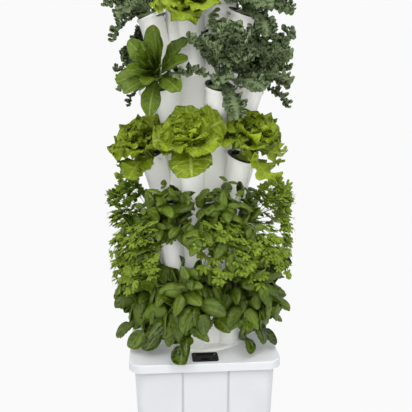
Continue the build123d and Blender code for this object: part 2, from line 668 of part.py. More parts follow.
# Suction feet under the pump
suction_x = (chamber_half + pump_back_x) / 2
with BuildPart() as pump_suction_feet:
    with Locations((suction_x, 0, tank_floor_z)):
        with GridLocations(PUMP_LENGTH - 2 * SUCTION_INSET, PUMP_WIDTH - 2 * SUCTION_INSET, 2, 2):
            Cone(SUCTION_RADIUS, SUCTION_RADIUS / 2, SUCTION_HEIGHT, align=up_align)
save(pump_suction_feet, "pump_suction_feet")

# Riser: three lengths of pipe from the pump outlet to the drip tray, joined by couplers
riser_start_z = pump_top_z
riser_end_z = tower_top_z - TRAY_BELOW_TOP
joint_z = [lid_top_z + TOWER_FOOT_HEIGHT, tower_z + TIER_PITCH * TIERS / 2]
riser_levels = [riser_start_z, *joint_z, riser_end_z]
riser_names = ("riser_lower", "riser_middle", "riser_upper")
for name, low, high in zip(riser_names, riser_levels, riser_levels[1:]):
    with BuildPart() as riser:
        with Locations((0, 0, low)):
            Cylinder(RISER_RADIUS, high - low, align=up_align)
            Cylinder(RISER_RADIUS - RISER_WALL, high - low, align=up_align, mode=Mode.SUBTRACT)
    save(riser, name)

with BuildPart() as riser_couplers:
    for level in joint_z:
        with Locations((0, 0, level)):
            Cylinder(RISER_RADIUS + RISER_FIT + COUPLER_WALL, COUPLER_LENGTH)
            Cylinder(RISER_RADIUS + RISER_FIT, COUPLER_LENGTH, mode=Mode.SUBTRACT)
save(riser_couplers, "riser_couplers")

# Drip tray on top of the riser, with a ring of holes that feed the core
hub_radius = RISER_RADIUS + RISER_FIT + COUPLER_WALL
with BuildPart() as water_distributor:
    with Locations((0, 0, riser_end_z)):
        Cylinder(TRAY_RADIUS, TRAY_HEIGHT, align=up_align)
    with Locations((0, 0, riser_end_z + TRAY_WALL)):
        Cylinder(TRAY_RADIUS - TRAY_WALL, TRAY_HEIGHT, align=up_align, mode=Mode.SUBTRACT)
    with Locations((0, 0, riser_end_z)):
        Cylinder(hub_radius, TRAY_HUB_LENGTH, align=down_align)
        Cylinder(RISER_RADIUS + RISER_FIT, TRAY_HUB_LENGTH, align=down_align, mode=Mode.SUBTRACT)
        Cylinder(RISER_RADIUS - RISER_WALL, TRAY_WALL, align=up_align, mode=Mode.SUBTRACT)
        with PolarLocations(TRAY_RADIUS - TRAY_HEIGHT, TRAY_HOLES):
            Cylinder(TRAY_HOLE_RADIUS, TRAY_WALL, align=up_align, mode=Mode.SUBTRACT)
save(water_distributor, "water_distributor")
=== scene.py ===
"""Looks of a planted hydroponic tower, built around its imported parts.

The moulded pieces keep their own meshes and get finishes here. Every plant is grown leaf by leaf in the
pocket that carries it, and stands for the plain leaf whorls of its node.
"""
import json
import logging
import math
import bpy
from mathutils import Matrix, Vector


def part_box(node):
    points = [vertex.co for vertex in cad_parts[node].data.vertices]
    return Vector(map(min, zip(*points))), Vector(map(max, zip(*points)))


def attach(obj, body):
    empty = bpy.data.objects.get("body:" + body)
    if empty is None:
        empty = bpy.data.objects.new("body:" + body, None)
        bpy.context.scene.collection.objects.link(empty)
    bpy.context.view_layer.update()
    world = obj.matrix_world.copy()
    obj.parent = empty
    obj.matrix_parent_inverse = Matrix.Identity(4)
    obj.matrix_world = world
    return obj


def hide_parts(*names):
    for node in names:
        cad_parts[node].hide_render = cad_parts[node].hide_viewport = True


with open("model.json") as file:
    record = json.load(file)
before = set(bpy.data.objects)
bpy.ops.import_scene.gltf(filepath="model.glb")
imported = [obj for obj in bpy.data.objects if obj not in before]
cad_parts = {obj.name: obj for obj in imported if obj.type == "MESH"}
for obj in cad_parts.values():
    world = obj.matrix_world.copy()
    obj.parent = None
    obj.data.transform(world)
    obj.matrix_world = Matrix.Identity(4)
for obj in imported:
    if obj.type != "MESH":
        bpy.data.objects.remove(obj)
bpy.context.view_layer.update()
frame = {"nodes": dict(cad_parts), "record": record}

import zlib
from dataclasses import dataclass, field
from enum import Enum
from functools import cache

import bpy
import numpy as np
from mathutils import Vector

log = logging.getLogger("hydroponic_tower")
Array = np.ndarray
Colour = tuple[float, float, float, float]
Socket = bpy.types.NodeSocket
Sockets = bpy.types.bpy_prop_collection
Value = Socket | float | Colour
UP = np.array([0.0, 0.0, 1.0])
FULL_TURN = 2.0 * math.pi
GOLDEN_ANGLE = math.radians(137.508)
GOLDEN_SHARE = 0.618

# Shapes that all plants share: powers, shares, angles in degrees, and depths and radii in metres
BEND_POWER = 1.4
TIP_EASE = 1.6
LEAST_WIDTH = 0.03
LEAST_LOBE = 0.04
RIB_WIDTH = 0.14
VEIN_LEAN = 1.3
WAVE_SLIDE = 0.7
WAVE_WANDER = 0.18
ROOT_DEPTH = 0.004
CROWN_HEIGHT = 0.006
CROWN_RADII = (0.008, 0.006)
STALK_TAPER = 0.75
STEM_TAPER = 0.55
SPRIG_TAPER = 0.6
TWIG_RADII = (0.0008, 0.0006)
STALK_BEND = 0.2
STALK_RISE = 5.0
BACK_LEAN = 6.0
BACK_RISE = 80.0
BACK_EASE = 0.7
ROOT_SPREAD = 0.008
STEM_FALL = 0.7
SPRIG_STEPS = 10
TWIG_SPREAD = 0.95
TWIGS = ((10, 0.0), (9, -1.0), (9, 1.0), (7, -1.0), (7, 1.0))

# Ends of the chance draws: shares, rises in degrees, lengths in metres and bends in radians
LEAF_SIZES = (0.90, 1.08)
BEND_SHARES = (0.8, 1.2)
STEM_LENGTHS = (0.75, 1.10)
HANGER_RISES = (0.0, 16.0)
PAIR_SIZES = (0.84, 1.14)
PAIR_LEANS = (0.3, 0.9)
PAIR_BENDS = (0.7, 1.5)
SPRIG_LENGTHS = (0.50, 1.14)
SWEEP_SHARES = (0.55, 1.50)
SWEEP_RISES = (-2.0, 30.0)
SWEEP_LENGTHS = (0.80, 1.50)
TWIG_LIFTS = (-0.1, 0.4)
TWIG_LENGTHS = (0.010, 0.020)
LEAFLET_LIFTS = (-0.2, 0.3)
LEAFLET_BENDS = (0.0, 0.8)

# Range of the soft patches over which a finish changes
PATCH_ENDS = (0.3, 0.7)


class Species(Enum):
    """Plants that the tower carries."""

    KALE = "kale"
    ROMAINE = "romaine"
    LETTUCE = "lettuce"
    BUTTERHEAD = "butterhead"
    BASIL = "basil"
    PARSLEY = "parsley"
    TRAILING_BASIL = "trailing_basil"


class Habit(Enum):
    """Ways in which a plant carries its leaves."""

    ROSETTE = "rosette"
    STEMMED = "stemmed"
    TERNATE = "ternate"


@dataclass(frozen=True)
class TierForm:
    """Sizes of one tier, as moulded, in metres and degrees."""

    pockets: int = 6
    tiers: int = 5
    pitch: float = 0.204
    core_radius: float = 0.104
    lobe_reach: float = 0.108
    lobe_radius: float = 0.031
    rim_reach: float = 0.155
    rim_height: float = 0.177
    rim_radius: float = 0.043
    pocket_radius: float = 0.039
    rim_tilt: float = 25.0
    plug_recess: float = 0.006
    first_angle: float = -14.0
    stagger: float = 30.0

    def step(self) -> float:
        """Angle between neighbouring pockets, in degrees."""
        return 360.0 / self.pockets

    def pocket_angle(self, tier: int, pocket: int) -> float:
        """Angle of a pocket about the tower's axis, in radians from +X. Tier and pocket count from 0."""
        turn = self.first_angle - 90.0 - self.step() + self.stagger * (tier % 2)
        return math.radians(turn + pocket * self.step())

    def ways(self, tier: int, pocket: int) -> tuple[Array, Array]:
        """Level ways out of a pocket and along its side."""
        angle = self.pocket_angle(tier, pocket)
        out = np.array([math.cos(angle), math.sin(angle), 0.0])
        return out, np.array([-out[1], out[0], 0.0])


@dataclass
class Tower:
    """The moulded tower: where its pockets are, and how leaves are kept out of its walls."""

    form: TierForm = field(default_factory=TierForm)
    clearance: float = 0.0015
    cap_room: float = 0.111
    cap_depth: float = 0.030
    collar_depth: float = 0.010
    rim_gap: float = 0.0025
    lid_gap: float = 0.012
    flap_room: float = 0.050
    flap_side: float = 0.060
    flap_front: float = -0.125
    side_fade: float = 0.014
    front_fade: float = 0.025
    soft: float = 0.030
    free_reach: float = 0.290
    full_reach: float = 0.300

    def __post_init__(self) -> None:
        """Read the levels of the tower and the lid from the frame."""
        self.bottom = float(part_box("tower_foot")[1][2])
        self.lid_top = float(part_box("tower_foot")[0][2])

    def seat(self, tier: int, pocket: int) -> "Seat":
        """Seat of a plant on its growing plug.

        Args:
            tier: Tier, counted from 0 at the bottom.
            pocket: Pocket, counted from 0.

        Returns:
            The seat, with its origin in the middle of the plug's top.
        """
        form = self.form
        out, side = form.ways(tier, pocket)
        tilt = math.radians(form.rim_tilt)
        axis = math.sin(tilt) * out + math.cos(tilt) * UP
        rim = form.rim_reach * out + (self.bottom + tier * form.pitch + form.rim_height) * UP
        return Seat(origin=rim - form.plug_recess * axis, out=out, side=side)

    def clear(self, points: Array) -> Array:
        """Keep points clear of the tower's walls, the lid and the port's flap, and within reach.

        Args:
            points: Points, one row each.

        Returns:
            The moved points.
        """
        moved = self.push_out(points)
        reach = np.hypot(moved[:, 0], moved[:, 1])
        far = reach > self.free_reach
        room = self.full_reach - self.free_reach
        held = self.full_reach - room * np.exp((self.free_reach - reach[far]) / room)
        moved[far, :2] *= (held / reach[far])[:, None]
        beside = np.clip((self.flap_side - np.abs(moved[:, 0])) / self.side_fade, 0.0, 1.0)
        before = np.clip((self.flap_front - moved[:, 1]) / self.front_fade, 0.0, 1.0)
        floor = self.lid_top + self.lid_gap + self.flap_room * beside * before
        low = moved[:, 2] < floor + self.soft
        depth = (moved[low, 2] - floor[low]) / self.soft - 1.0
        moved[low, 2] = floor[low] + self.soft * np.exp(depth)
        return moved

    def push_out(self, points: Array) -> Array:
        """Move points that lie inside the tower's walls out to their surface.

        Args:
            points: Points, one row each.

        Returns:
            The points, clear of the core, the cap and the pockets.
        """
        form = self.form
        moved = points.copy()
        top = self.bottom + form.tiers * form.pitch
        radius = np.hypot(moved[:, 0], moved[:, 1])
        core = form.core_radius + self.clearance
        need = np.where(moved[:, 2] < top - self.cap_depth, core, self.cap_room)
        inside = radius < need
        grow = need[inside] / np.maximum(radius[inside], 1e-6)
        moved[inside, :2] *= grow[:, None]
        lean = (form.rim_reach - form.lobe_reach) / form.rim_height
        for tier in range(form.tiers):
            level = self.bottom + tier * form.pitch
            height = moved[:, 2] - level
            near = (height > -self.clearance) & (height < form.rim_height + form.rim_radius)
            if not near.any():
                continue
            for pocket in range(form.pockets):
                out, side = (way[:2] for way in form.ways(tier, pocket))
                rows = np.nonzero(near)[0]
                rise = height[rows]
                reach = moved[rows, :2] @ out - (form.lobe_reach + lean * rise)
                across = moved[rows, :2] @ side
                rim_drop = (moved[rows, :2] @ out - form.rim_reach) * math.tan(math.radians(form.rim_tilt))
                share = np.clip(rise / form.rim_height, 0.0, 1.0)
                wall = form.lobe_radius + (form.pocket_radius - form.lobe_radius) * share + self.clearance
                collar = rise > form.rim_height - rim_drop - self.collar_depth
                wall = np.where(collar, form.rim_radius + self.clearance, wall)
                below = rise < form.rim_height - rim_drop + self.rim_gap
                distance = np.hypot(reach, across)
                hit = below & (distance < wall) & (distance > 1e-6)
                push = (wall[hit] / distance[hit] - 1.0)[:, None]
                moved[rows[hit], :2] += push * (reach[hit, None] * out + across[hit, None] * side)
        return moved


@dataclass(frozen=True)
class Seat:
    """Where a plant grows: its origin, the way out from the tower and the way along its side."""

    origin: Array
    out: Array
    side: Array

    def axes(self, tilt: float, turn: float = 0.0) -> Array:
        """Axes of the plant: outward, sideways and along its own leaning axis.

        Args:
            tilt: How far the plant leans out from upright, in degrees.
            turn: How far its lean is turned about the vertical, in degrees.

        Returns:
            A matrix whose rows are the three axes.
        """
        lean, swing = math.radians(tilt), math.radians(turn)
        out = math.cos(swing) * self.out + math.sin(swing) * self.side
        side = np.cross(UP, out)
        axis = math.sin(lean) * out + math.cos(lean) * UP
        return np.stack([np.cross(side, axis), side, axis])


@dataclass(frozen=True)
class Wave:
    """One set of waves along a leaf's margin: how many, how high and how close to the margin."""

    count: float
    height: float
    reach: float


@dataclass(frozen=True)
class LeafShape:
    """Outline and relief of a leaf blade, in metres, with powers and shares as plain numbers."""

    length: float
    half_width: float
    widest: float
    base_round: float
    tip_round: float
    columns: int = 8
    rows: int = 10
    cup: float = 0.2
    rib: float = 0.0012
    quilt: float = 0.0
    veins: int = 6
    lobes: int = 0
    lobe_depth: float = 0.0
    waves: tuple[Wave, ...] = ()

    def outline(self, along: Array) -> Array:
        """Half width along the blade, as a share of the widest.

        Args:
            along: Places along the blade, 0 at the base and 1 at the tip.

        Returns:
            Shares from about 0.03 to 1.
        """
        base = np.clip((self.widest - along) / self.widest, 0.0, 1.0)
        tip = np.clip((along - self.widest) / (1.0 - self.widest), 0.0, 1.0)
        width = (1.0 - base**self.base_round) ** (1.0 / self.base_round)
        width = width * (1.0 - tip**self.tip_round) ** (1.0 / self.tip_round)
        return np.maximum(width, LEAST_WIDTH)


@dataclass
class LeafSheet:
    """Flat grid that every blade of one fineness is cut from."""

    columns: int
    rows: int

    def __post_init__(self) -> None:
        """Add a grid, read its places and faces, and remove it."""
        bpy.ops.object.select_all(action="DESELECT")
        bpy.ops.mesh.primitive_grid_add(x_subdivisions=self.columns, y_subdivisions=self.rows, size=2.0)
        grid = bpy.context.object
        mesh = grid.data
        places = np.empty(len(mesh.vertices) * 3)
        mesh.vertices.foreach_get("co", places)
        places = places.reshape(-1, 3)
        self.across = places[:, 0].copy()
        self.along = (places[:, 1] + 1.0) / 2.0
        self.row = np.rint(self.along * self.rows).astype(int)
        corners = np.empty(len(mesh.loops), dtype=np.int64)
        mesh.loops.foreach_get("vertex_index", corners)
        self.faces = corners.reshape(-1, 4)
        bpy.data.objects.remove(grid, do_unlink=True)
        bpy.data.meshes.remove(mesh)


@dataclass(frozen=True)
class Spray:
    """How a leaf or a stem leaves its plant: where, which way, and how it bends. Angles are in radians."""

    base: Array
    way: Array
    face: Array
    droop: float
    fall: float = 0.5
    roll: float = 0.0
    twist: float = 0.0


def unit(vector: Array) -> Array:
    """Vector of length 1 along another one."""
    return vector / max(float(np.linalg.norm(vector)), 1e-9)


def spine(spray: Spray, length: float, steps: int, ease: float = 1.0) -> tuple[Array, Array, Array, Array]:
    """Line that a leaf or a stem follows as it bends away from its face and down.

    Args:
        spray: Where it starts, how it points and how it bends.
        length: Length along the line.
        steps: Number of straight steps.
        ease: How much shorter the steps get towards the end, 1 for even steps.

    Returns:
        Points, tangents, side directions and upper normals, one row for each level.
    """
    way = unit(spray.way)
    face = unit(spray.face - (spray.face @ way) * way)
    place = spray.base
    places, ways, faces = [place], [way], [face]
    shares = 1.0 - (1.0 - np.linspace(0.0, 1.0, steps + 1)) ** ease
    for before, share in zip(shares, shares[1:]):
        bend = spray.droop * (share**BEND_POWER - before**BEND_POWER)
        pull = -spray.fall * UP - (1.0 - spray.fall) * face
        after = unit(way + math.tan(bend) * (pull - (pull @ way) * way))
        place = place + length * (share - before) * unit(way + after)
        way = after
        face = unit(face - (face @ way) * way)
        places.append(place)
        ways.append(way)
        faces.append(face)
    tangent, normal = np.array(ways), np.array(faces)
    side = np.cross(normal, tangent)
    roll = (spray.roll + spray.twist * shares)[:, None]
    rolled_side = np.cos(roll) * side + np.sin(roll) * normal
    rolled_normal = np.cos(roll) * normal - np.sin(roll) * side
    return np.array(places), tangent, rolled_side, rolled_normal


@dataclass
class Heap:
    """Points and four-sided faces, gathered before they become a mesh."""

    points: list[Array] = field(default_factory=list)
    faces: list[Array] = field(default_factory=list)
    count: int = 0

    def add(self, points: Array, faces: Array) -> None:
        """Add points, and faces that count those points from 0."""
        self.points.append(points)
        self.faces.append(faces + self.count)
        self.count += len(points)

    def mesh(self, name: str, tower: Tower) -> bpy.types.Object:
        """Make an object of the faces, kept clear of the tower, and link it to the scene.

        Args:
            name: Name of the object and its mesh.
            tower: The tower that carries the plant.

        Returns:
            The new object.
        """
        points, faces = tower.clear(np.vstack(self.points)), np.vstack(self.faces)
        mesh = bpy.data.meshes.new(name)
        mesh.vertices.add(len(points))
        mesh.vertices.foreach_set("co", points.astype(np.float32).ravel())
        mesh.loops.add(faces.size)
        mesh.loops.foreach_set("vertex_index", faces.astype(np.int32).ravel())
        mesh.polygons.add(len(faces))
        mesh.polygons.foreach_set("loop_start", np.arange(0, faces.size, 4, dtype=np.int32))
        mesh.update(calc_edges=True)
        piece = bpy.data.objects.new(name, mesh)
        bpy.context.scene.collection.objects.link(piece)
        return piece


@dataclass
class Foliage:
    """Leaves and stems of one plant."""

    rng: np.random.Generator
    reach: float = 0.297
    nearest: float = 0.93
    blades: Heap = field(default_factory=Heap)
    stems: Heap = field(default_factory=Heap)
    layers: dict[str, list[Array]] = field(default_factory=dict)

    def keep(self, sheet: LeafSheet, points: Array, along: Array) -> None:
        """Keep the points of one shaped blade, moved inwards as a whole where it stands out too far.

        Args:
            sheet: Grid that the blade was cut from.
            points: Its shaped points.
            along: Their places along the blade.
        """
        limit = self.reach * self.rng.uniform(self.nearest, 1.0)
        over = float(np.hypot(points[:, 0], points[:, 1]).max()) - limit
        if over > 0.0:
            points[:, :2] -= over * unit(points[:, :2].mean(axis=0))
        self.blades.add(points, sheet.faces)
        tone = np.full(len(points), self.rng.uniform(0.0, 1.0))
        for title, values in (("across", sheet.across), ("along", along), ("tone", tone)):
            self.layers.setdefault(title, []).append(values)

    def add_leaf(self, shape: LeafShape, sheet: LeafSheet, spray: Spray, size: float = 1.0) -> None:
        """Cut one blade from its sheet, shape it and add it to the plant.

        Args:
            shape: Outline and relief of the blade.
            sheet: Grid that the blade is cut from.
            spray: Where it starts and how it points.
            size: Scale of this leaf.
        """
        across, along = sheet.across, 1.0 - (1.0 - sheet.along) ** TIP_EASE
        edge = np.abs(across)
        outline = shape.outline(along)
        if shape.lobes:
            left, right = self.rng.uniform(0.0, 1.0, 2)
            turn = FULL_TURN * (shape.lobes * along + np.where(across < 0.0, left, right))
            notch = shape.lobe_depth * (0.5 + 0.5 * np.cos(turn)) * np.minimum(1.0, 3.0 * (1.0 - along))
            outline = np.maximum(outline * (1.0 - notch), LEAST_LOBE)
        half = size * shape.half_width * outline
        lift = shape.cup * half * across**2
        slide = np.zeros_like(lift)
        for wave in shape.waves:
            left, right, wander = self.rng.uniform(0.0, 1.0, 3)
            wobble = WAVE_WANDER * np.sin(FULL_TURN * (1.7 * along + wander))
            turn = FULL_TURN * (wave.count * along + np.where(across < 0.0, left, right) + wobble)
            reach = wave.height * size * edge**wave.reach * np.minimum(1.0, 1.6 * outline)
            lift = lift + reach * np.sin(turn)
            slide = slide + WAVE_SLIDE * reach * np.cos(turn)
        if shape.quilt:
            swell = 0.62 - 0.38 * np.cos(FULL_TURN * (shape.veins * along - VEIN_LEAN * edge))
            lift = lift + shape.quilt * size * swell * 4.0 * edge * (1.0 - edge) * outline
        lift = lift - shape.rib * size * np.exp(-((across / RIB_WIDTH) ** 2)) * outline
        centre, tangent, side, normal = spine(spray, size * shape.length, sheet.rows, TIP_EASE)
        row = sheet.row
        points = centre[row] + slide[:, None] * tangent[row]
        points = points + (across * half)[:, None] * side[row] + lift[:, None] * normal[row]
        self.keep(sheet, points, along)

    def add_fan(self, shape: LeafShape, sheet: LeafSheet, spray: Spray, size: float = 1.0) -> None:
        """Cut one fan-shaped leaflet with three lobes and add it to the plant.

        Args:
            shape: Length, opening and relief of the leaflet.
            sheet: Grid that the leaflet is cut from.
            spray: Where it starts and how it points.
            size: Scale of this leaflet.
        """
        angle = sheet.across * math.atan2(2.0 * shape.half_width, shape.length)
        notch = (0.5 - 0.5 * np.cos(3.0 * math.pi * sheet.across)) ** 2
        lobes = 1.0 - shape.lobe_depth * notch
        reach = (0.05 + 0.95 * sheet.along) * lobes * size * shape.length
        centre, tangent, side, normal = spine(spray, size * shape.length, sheet.rows)
        sag = centre[sheet.row] - centre[0] - (sheet.along * size * shape.length)[:, None] * tangent[0]
        points = centre[0] + sag + (reach * np.cos(angle))[:, None] * tangent[0]
        points = points + (reach * np.sin(angle))[:, None] * side[0]
        points = points + (shape.cup * reach * np.abs(np.sin(angle)))[:, None] * normal[0]
        self.keep(sheet, points, sheet.along)

    def add_stem(self, line: Array, start: float, end: float, sides: int = 6) -> None:
        """Add a tapering round stem along a line, closed at both ends.

        Args:
            line: Points that the stem follows.
            start: Radius at the first point.
            end: Radius at the last point.
            sides: Number of sides, which is even.
        """
        tangent = np.gradient(line, axis=0)
        tangent = tangent / np.maximum(np.linalg.norm(tangent, axis=1), 1e-9)[:, None]
        first = np.cross(tangent, np.array([0.31, 0.84, 0.44]))
        first = first / np.linalg.norm(first, axis=1)[:, None]
        second = np.cross(tangent, first)
        radius = np.linspace(start, end, len(line))[:, None, None]
        angle = np.linspace(0.0, FULL_TURN, sides, endpoint=False)[None, :, None]
        ring = np.cos(angle) * first[:, None, :] + np.sin(angle) * second[:, None, :]
        points = (line[:, None, :] + radius * ring).reshape(-1, 3)
        quads = []
        for low in range(0, (len(line) - 1) * sides, sides):
            for corner in range(sides):
                after = (corner + 1) % sides
                quads.append((low + corner, low + after, low + sides + after, low + sides + corner))
        hub, last = len(points), len(points) - sides
        for corner in range(0, sides, 2):
            after, beyond = corner + 1, (corner + 2) % sides
            quads.append((hub, beyond, after, corner))
            quads.append((hub + 1, last + corner, last + after, last + beyond))
        self.stems.add(np.vstack([points, line[:1], line[-1:]]), np.array(quads))


def select_only(*pieces: bpy.types.Object) -> None:
    """Select these objects alone, and make the first the active one."""
    bpy.ops.object.select_all(action="DESELECT")
    for piece in pieces:
        piece.select_set(True)
    bpy.context.view_layer.objects.active = pieces[0]


@dataclass(frozen=True)
class PlantForm:
    """How one species grows: its habit, its leaves and its stems. Angles are in degrees, outer to inner."""

    habit: Habit
    leaf: LeafShape
    count: int
    tilt: float
    rise: tuple[float, float]
    droop: tuple[float, float]
    size: tuple[float, float]
    stalk: float
    stalk_radius: float
    fall: float = 0.5
    thickness: float = 0.0008
    pairs: int = 0
    spread: float = 180.0
    uprights: int = 0
    hangers: int = 0
    stem: float = 0.0


@dataclass(frozen=True)
class ExtraStem:
    """A stem besides a plant's fan of stems: its bend in degrees, its length and its leaves, as shares."""

    droop: float
    length: float
    leaf: float


HANGER = ExtraStem(130.0, 1.22, 1.12)
UPRIGHT = ExtraStem(4.0, 0.75, 0.72)
TALL = ExtraStem(2.0, 1.0, 0.56)


@dataclass(frozen=True)
class Posture:
    """What sets one plant apart: its lean, turn and height, its leaves, and where stems sweep or hang."""

    turn: float = 0.0
    lean: float = 0.0
    size: float = 1.0
    tall_stem: float = 0.0
    sweep: float = 0.0
    lift: float = 0.0
    climb: float = 0.0
    hang: float = 0.0


KALE_LEAF = LeafShape(
    0.140, 0.040, 0.60, 1.5, 2.2, columns=8, rows=140, cup=0.10, rib=0.0020, lobes=12, lobe_depth=0.24,
    waves=(Wave(4.0, 0.009, 1.0), Wave(14.0, 0.0072, 1.1), Wave(35.0, 0.0052, 1.2)),
)
ROMAINE_LEAF = LeafShape(
    0.118, 0.031, 0.56, 1.35, 1.8, columns=10, rows=22, cup=0.34, rib=0.0030, quilt=0.0030, veins=7,
    waves=(Wave(2.0, 0.0030, 1.8), Wave(5.0, 0.0012, 2.5)),
)
LETTUCE_LEAF = LeafShape(
    0.116, 0.056, 0.62, 1.4, 2.3, columns=12, rows=34, cup=0.22, rib=0.0026, quilt=0.0036, veins=6,
    lobes=4, lobe_depth=0.14,
    waves=(Wave(2.6, 0.012, 1.2), Wave(6.5, 0.0085, 1.6), Wave(13.0, 0.0042, 2.0)),
)
BUTTERHEAD_LEAF = LeafShape(
    0.100, 0.056, 0.60, 1.6, 2.3, columns=14, rows=36, cup=0.24, rib=0.0034, quilt=0.0046, veins=6,
    waves=(Wave(2.2, 0.0075, 1.2), Wave(5.5, 0.0052, 1.6), Wave(12.0, 0.0030, 2.0)),
)
BASIL_LEAF = LeafShape(
    0.052, 0.0165, 0.44, 2.0, 1.62, columns=8, rows=12, cup=-0.45, rib=0.0022, quilt=0.0042, veins=4,
)
TRAILING_LEAF = LeafShape(
    0.072, 0.0235, 0.43, 2.0, 1.65, columns=10, rows=13, cup=-0.46, rib=0.0030, quilt=0.0062, veins=5,
)
PARSLEY_LEAF = LeafShape(0.025, 0.023, 0.5, 1.5, 1.5, columns=12, rows=2, cup=0.16, lobe_depth=0.46)

FORMS: dict[Species, PlantForm] = {
    Species.KALE: PlantForm(
        Habit.ROSETTE, KALE_LEAF, 14, 28.0, (16.0, 80.0), (72.0, 22.0), (0.82, 1.0), 0.050, 0.0034,
        thickness=0.0009, stem=0.020,
    ),
    Species.ROMAINE: PlantForm(
        Habit.ROSETTE, ROMAINE_LEAF, 19, 46.0, (4.0, 78.0), (36.0, 4.0), (1.0, 0.66), 0.020, 0.0042,
        stem=0.060,
    ),
    Species.LETTUCE: PlantForm(
        Habit.ROSETTE, LETTUCE_LEAF, 19, 38.0, (12.0, 80.0), (34.0, -4.0), (1.0, 0.58), 0.012, 0.0040,
        stem=0.034,
    ),
    Species.BUTTERHEAD: PlantForm(
        Habit.ROSETTE, BUTTERHEAD_LEAF, 22, 48.0, (8.0, 84.0), (30.0, -46.0), (1.0, 0.40), 0.012, 0.0040,
        stem=0.044,
    ),
    Species.BASIL: PlantForm(
        Habit.STEMMED, BASIL_LEAF, 13, 16.0, (10.0, 84.0), (50.0, 6.0), (1.0, 0.62), 0.125, 0.0018,
        fall=0.7, pairs=4, spread=165.0,
    ),
    Species.TRAILING_BASIL: PlantForm(
        Habit.STEMMED, TRAILING_LEAF, 9, 24.0, (2.0, 70.0), (118.0, 50.0), (1.0, 0.98), 0.126, 0.0022,
        fall=0.85, pairs=3, spread=150.0, uprights=1, hangers=2,
    ),
    Species.PARSLEY: PlantForm(
        Habit.TERNATE, PARSLEY_LEAF, 40, 32.0, (-6.0, 72.0), (90.0, 22.0), (0.80, 1.20), 0.205, 0.0011,
        fall=0.9, thickness=0.0005, spread=220.0,
    ),
}
POSTURES: dict[str, Posture] = {
    "parsley_tier_2_right": Posture(turn=-24.0, sweep=-66.0),
    "parsley_tier_2_left": Posture(turn=20.0, sweep=58.0),
    "trailing_basil_tier_1_left": Posture(hang=14.0),
    "trailing_basil_tier_1_front": Posture(tall_stem=0.20, hang=-40.0),
    "basil_tier_2_front_right": Posture(size=1.16),
    "romaine_tier_4_front_left": Posture(turn=14.0, lean=8.0),
    "lettuce_tier_5_front": Posture(lean=-8.0, lift=-0.016, size=0.86),
    "lettuce_tier_3_right": Posture(turn=-14.0, lean=-6.0, size=1.15, climb=0.010),
    "butterhead_tier_3_front": Posture(climb=0.026),
    "kale_tier_4_left": Posture(size=0.74),
    "lettuce_tier_3_left": Posture(turn=18.0, lean=-2.0),
}


def between(ends: tuple[float, float], share: float) -> float:
    """Value at a share of the way between two ends."""
    return ends[0] + (ends[1] - ends[0]) * share


def behind(azimuth: float) -> float:
    """How far a direction points back at the tower: 0 up to sideways, 1 straight back."""
    return max(0.0, 2.0 * abs(azimuth) / math.pi - 1.0)


